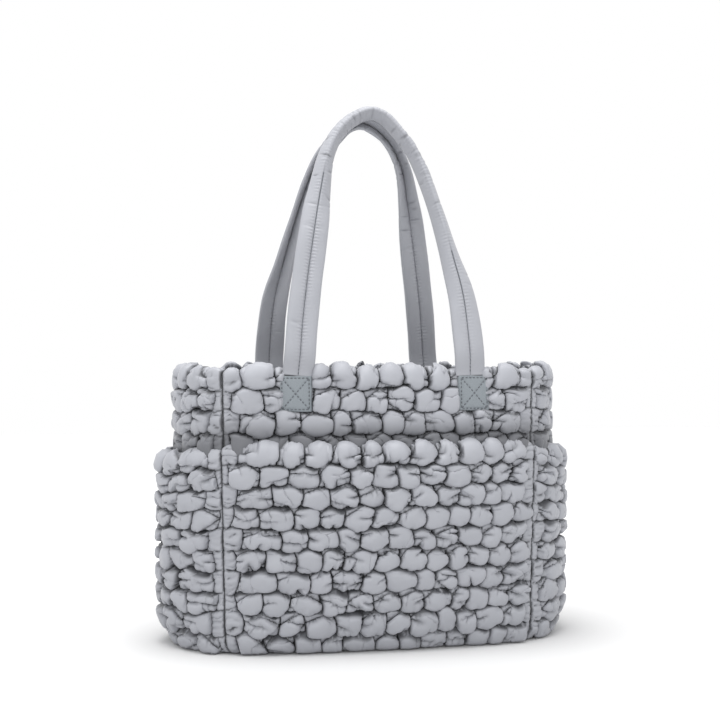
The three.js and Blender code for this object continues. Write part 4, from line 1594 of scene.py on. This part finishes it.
class Finish:
    """A material with one Principled shader, and the method that adds its other nodes."""

    def __init__(self, name, constants):
        self.material = bpy.data.materials.new(name)
        self.material.use_nodes = True
        self.tree = self.material.node_tree
        self.shader = self.tree.nodes["Principled BSDF"]
        for key, value in constants.items():
            self.shader.inputs[key].default_value = value

    def node(self, kind, settings=None, sockets=None, output=0):
        """Adds a node, sets its settings first and then its sockets, and gives one output."""
        made = self.tree.nodes.new(kind)
        for key, value in (settings or {}).items():
            setattr(made, key, value)
        for key, value in (sockets or {}).items():
            self.feed(made.inputs[key], value)
        return Output(self, made.outputs[output])

    def feed(self, socket, value):
        """Links an output to a socket, or sets the socket's own value."""
        if isinstance(value, Output):
            self.tree.links.new(value.socket, socket)
        else:
            socket.default_value = value

    def surface(self, key, value):
        """Feeds one of the shader's sockets."""
        self.feed(self.shader.inputs[key], value)

    def mix(self, factor, a, b):
        """A colour between a and b."""
        sockets = {0: factor, MIX_A: a, MIX_B: b}
        return self.node("ShaderNodeMix", {"data_type": "RGBA"}, sockets, output=MIX_RESULT)

    def mark(self, name):
        """A value that the piece's mesh carries at each point."""
        return self.node("ShaderNodeAttribute", {"attribute_name": name}, output="Fac")

    def cloth(self, scale):
        """The cut cloth's own coordinates, scaled."""
        uv = self.node("ShaderNodeUVMap", {"uv_map": "cloth"})
        sizes = (scale, scale, 1)
        return self.node("ShaderNodeVectorMath", {"operation": "MULTIPLY"}, {0: uv, 1: sizes})

    def noise(self, vector, scale, detail):
        """A noise value from 0 to 1 at the given coordinates."""
        return self.node("ShaderNodeTexNoise", {}, {"Vector": vector, "Scale": scale, "Detail": detail})

    def bump(self, height, distance, strength, under=None):
        """A bump that stands height times distance in metres, on top of another where one is given."""
        sockets = {"Height": height, "Distance": distance, "Strength": strength}
        if under is not None:
            sockets["Normal"] = under
        return self.node("ShaderNodeBump", {}, sockets)

    def part(self, vector, axis):
        """One of a vector's three parts."""
        return self.node("ShaderNodeSeparateXYZ", {}, {0: vector}, output=axis)

    def waves(self, value):
        """Even ridges, one for each unit of a value."""
        return self.node("ShaderNodeMath", {"operation": "SINE"}, {0: value * (2 * math.pi)})


# %% [markdown]
# ## Finishes
# The nylon is a pale blue-grey plain weave with a soft sheen. It goes dark in the clefts and the
# folds, where the marks say that little light comes in. The weave has a thread every 0.35 mm.
# Fine crinkles are deepest at the stitches and fade towards the middle of each puff.

# %% Nylon
# Colours are linear. A noise has a scale and a detail, and heights of bumps are in metres.
NYLON = (0.303, 0.31, 0.34, 1)
NYLON_PALE = (0.346, 0.355, 0.385, 1)
STRAP_NYLON = (0.289, 0.295, 0.324, 1)
STRAP_PALE = (0.322, 0.33, 0.357, 1)
# Painted shade: the near-black colour of the clefts and folds, where little light comes in.
CREASE_SHADE = (0.012, 0.0125, 0.015, 1)
NYLON_GLOSS = {"Sheen Weight": 0.12, "Sheen Roughness": 0.45, "Specular IOR Level": 0.4}
NYLON_ROUGH = 0.44
GRAIN_ROUGH = 0.14
PER_MM = 1 / UV_SCALE
DRIFT_NOISE = (3.1, 3.0)
GRAIN_NOISE = (40.0, 2.0)
FOLD_NOISE = (22.0, 3.0)
WEAVE_PITCH = 0.35
WEAVE_HEIGHT = 0.00003
WEAVE_STRENGTH = 0.5
CRINKLE_FADE = 0.75
QUILT_CRINKLE = 0.0016
STRAP_CRINKLE = 0.0006


def nylon(name, tone, pale, crinkle):
    """Woven nylon: colour drifts with a slow noise and goes to a painted shade down in the clefts and
    folds, and two bumps give the weave and the crinkles."""
    finish = Finish(name, NYLON_GLOSS)
    drift = finish.noise(finish.cloth(1), *DRIFT_NOISE)
    colour = finish.mix(drift, tone, pale)
    # Painted shade: the colour goes to the crease shade where the mark says little light comes in.
    finish.surface("Base Color", finish.mix(finish.mark("light_opening"), CREASE_SHADE, colour))
    grain = finish.noise(finish.cloth(1), *GRAIN_NOISE)
    finish.surface("Roughness", NYLON_ROUGH + GRAIN_ROUGH * grain)
    thread = finish.cloth(PER_MM / WEAVE_PITCH)
    weave = finish.waves(finish.part(thread, 0)) * finish.waves(finish.part(thread, 1))
    folds = finish.noise(finish.cloth(1), *FOLD_NOISE) - 0.5
    crinkles = (1 - 4 * folds**2) * (1 - CRINKLE_FADE * finish.mark("share"))
    fine = finish.bump(weave, WEAVE_HEIGHT, WEAVE_STRENGTH)
    finish.surface("Normal", finish.bump(crinkles, crinkle, 1.0, fine))
    return finish.material


quilt_nylon = nylon("quilted_nylon", NYLON, NYLON_PALE, QUILT_CRINKLE)
strap_nylon = nylon("strap_nylon", STRAP_NYLON, STRAP_PALE, STRAP_CRINKLE)
print("nylon finishes:", quilt_nylon.name, strap_nylon.name)

# %% [markdown]
# The patches are twill, a shade darker and greener than the nylon. Twill shows fine diagonal
# ridges, so one wave runs along the sum of the two cloth directions.

# %% Twill, thread and base cloth
TWILL_DARK = (0.172, 0.193, 0.21, 1)
TWILL_LIGHT = (0.297, 0.324, 0.347, 1)
BASE_DARK = (0.22, 0.23, 0.26, 1)
BASE_LIGHT = (0.31, 0.32, 0.355, 1)
THREAD_DARK = (0.085, 0.094, 0.108, 1)
THREAD_LIGHT = (0.15, 0.162, 0.178, 1)
DULL = {"Specular IOR Level": 0.3}
TWILL_MEAN = 0.25
RIDGE_SHARE = 0.2
FLECK_SHARE = 0.4
FLECK_NOISE = (90.0, 2.0)
TWILL_ROUGH = 0.78
FLECK_ROUGH = 0.14
RIDGE_HEIGHT = 0.00008
RIDGE_STRENGTH = 0.8
PATCH_RIDGES = 1.1
BASE_RIDGES = 0.9
TWIST_NOISE = (2500.0, 1.0)
THREAD_ROUGH = 0.5
TWIST_ROUGH = 0.2
TWIST_HEIGHT = 0.0002
TWIST_STRENGTH = 0.6


def twill(name, dark, light, pitch):
    """Diagonal ridges: a sine of the sum of both cloth coordinates, for bump and colour."""
    finish = Finish(name, DULL)
    at = finish.cloth(PER_MM / pitch)
    ridge = finish.waves(finish.part(at, 0) + finish.part(at, 1))
    fleck = finish.noise(finish.cloth(1), *FLECK_NOISE)
    tone = TWILL_MEAN + RIDGE_SHARE * ridge + FLECK_SHARE * fleck
    finish.surface("Base Color", finish.mix(tone, dark, light))
    finish.surface("Roughness", TWILL_ROUGH + FLECK_ROUGH * fleck)
    finish.surface("Normal", finish.bump(ridge, RIDGE_HEIGHT, RIDGE_STRENGTH))
    return finish.material


def sewing_thread(name):
    """Dark thread: a fine noise over Object coordinates stands for its twist."""
    finish = Finish(name, DULL)
    place = finish.node("ShaderNodeTexCoord", output="Object")
    twist = finish.noise(place, *TWIST_NOISE)
    finish.surface("Base Color", finish.mix(twist, THREAD_DARK, THREAD_LIGHT))
    finish.surface("Roughness", THREAD_ROUGH + TWIST_ROUGH * twist)
    finish.surface("Normal", finish.bump(twist, TWIST_HEIGHT, TWIST_STRENGTH))
    return finish.material


patch_twill = twill("patch_twill", TWILL_DARK, TWILL_LIGHT, PATCH_RIDGES)
base_cloth = twill("base_nylon", BASE_DARK, BASE_LIGHT, BASE_RIDGES)
dark_thread = sewing_thread("dark_thread")
print("other finishes:", patch_twill.name, base_cloth.name, dark_thread.name)

# %% [markdown]
# ## Setting the pieces in the frame
# Every piece rides on the bag's one body and gets its finish, and the plain solid that it
# stands for in the frame is hidden.

# %% Setting the pieces
def set_piece(piece, node, material):
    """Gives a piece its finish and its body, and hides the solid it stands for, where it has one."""
    piece.data.materials.append(material)
    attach(piece, "root")
    if node:
        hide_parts(node)


for piece, node in quilted:
    set_piece(piece, node, quilt_nylon)
for piece, node in handles:
    set_piece(piece, node, strap_nylon)
for piece, node in patches:
    set_piece(piece, node, patch_twill)
for piece in stitchings:
    set_piece(piece, None, dark_thread)
set_piece(base, "base_panel", base_cloth)

# %% [markdown]
# ## Floor and light
# The studio is white and soft: a large light overhead, a weaker one in front that lifts the
# shadows, and an even white sky. The floor's colour is painted shade: it is darker near the bag
# than further off, so that the soft shadow under the bag shows and the rest still goes to white.

# %% Floor
# The fade runs between two distances in metres, because a shader measures in them.
FLOOR_HALF = 4000.0
# Painted shade: the near colour darkens the floor round the bag, where the overhead light is strongest.
FLOOR_NEAR = (0.66, 0.66, 0.662, 1)
FLOOR_FAR = (0.985, 0.985, 0.987, 1)
FLOOR_FADE = (0.2, 1.0)
FLOOR_ROUGH = 0.8

floor_points = FLOOR_HALF * np.array([(-1, -1, 0), (1, -1, 0), (1, 1, 0), (-1, 1, 0)])
floor = make_mesh("studio_floor", floor_points, [np.array([[0, 1, 2, 3]])], smooth=False)
floor_painted_shade = Finish("floor_painted_shade", {"Roughness": FLOOR_ROUGH})
place = floor_painted_shade.node("ShaderNodeTexCoord", output="Object")
away = floor_painted_shade.node("ShaderNodeVectorMath", {"operation": "LENGTH"}, {0: place}, output="Value")
ends = {"Value": away, "From Min": FLOOR_FADE[0], "From Max": FLOOR_FADE[1]}
far = floor_painted_shade.node("ShaderNodeMapRange", {"interpolation_type": "SMOOTHSTEP"}, ends)
floor_painted_shade.surface("Base Color", floor_painted_shade.mix(far, FLOOR_NEAR, FLOOR_FAR))
floor.data.materials.append(floor_painted_shade.material)
floor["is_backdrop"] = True
print("floor in m:", 2 * METRES * FLOOR_HALF)

# %% Lights and sky
LIGHTS = (
    # name, place and target in metres, size in metres, power in watts
    ("overhead", (-0.15, -0.1, 1.9), (0, 0, 0.2), 1.3, 32),
    ("front_fill", (-0.5, -2.3, 0.5), (0, 0, 0.3), 0.9, 8),
)
SKY = (1, 1, 1, 1)
SKY_STRENGTH = 1.0


def area_light(name, place, target, size, power):
    """A square light at place that faces target."""
    data = bpy.data.lights.new(name, "AREA")
    data.size = size
    data.energy = power
    light = bpy.data.objects.new(name, data)
    way = np.array(target) - np.array(place)
    light.location = place
    level = math.hypot(way[0], way[1])
    light.rotation_euler = (math.atan2(level, -way[2]), 0, math.atan2(-way[0], way[1]))
    bpy.context.collection.objects.link(light)


for light in LIGHTS:
    area_light(*light)

world = bpy.data.worlds.new("studio")
bpy.context.scene.world = world
world.use_nodes = True
world.node_tree.nodes["Background"].inputs["Color"].default_value = SKY
world.node_tree.nodes["Background"].inputs["Strength"].default_value = SKY_STRENGTH
bpy.context.scene.view_settings.view_transform = "Standard"
print("lights:", [light[0] for light in LIGHTS])

# %% [markdown]
# ## Measuring the bag
# The frame's box and the dressed bag's box, where cloth may stand proud of the frame, are kept
# side by side, and both sizes are printed. The dressed bag has to stay the size of the frame,
# apart from what cloth may stand proud.

# %% Size
visual_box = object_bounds()
boxes = {
    "cad": [[float(n) for n in corner] for corner in cad_box],
    "visual": [[float(n) for n in corner] for corner in visual_box],
}
for key, (low, high) in boxes.items():
    print(key, "box in mm:", [round(1000 * (b - a)) for a, b in zip(low, high)])
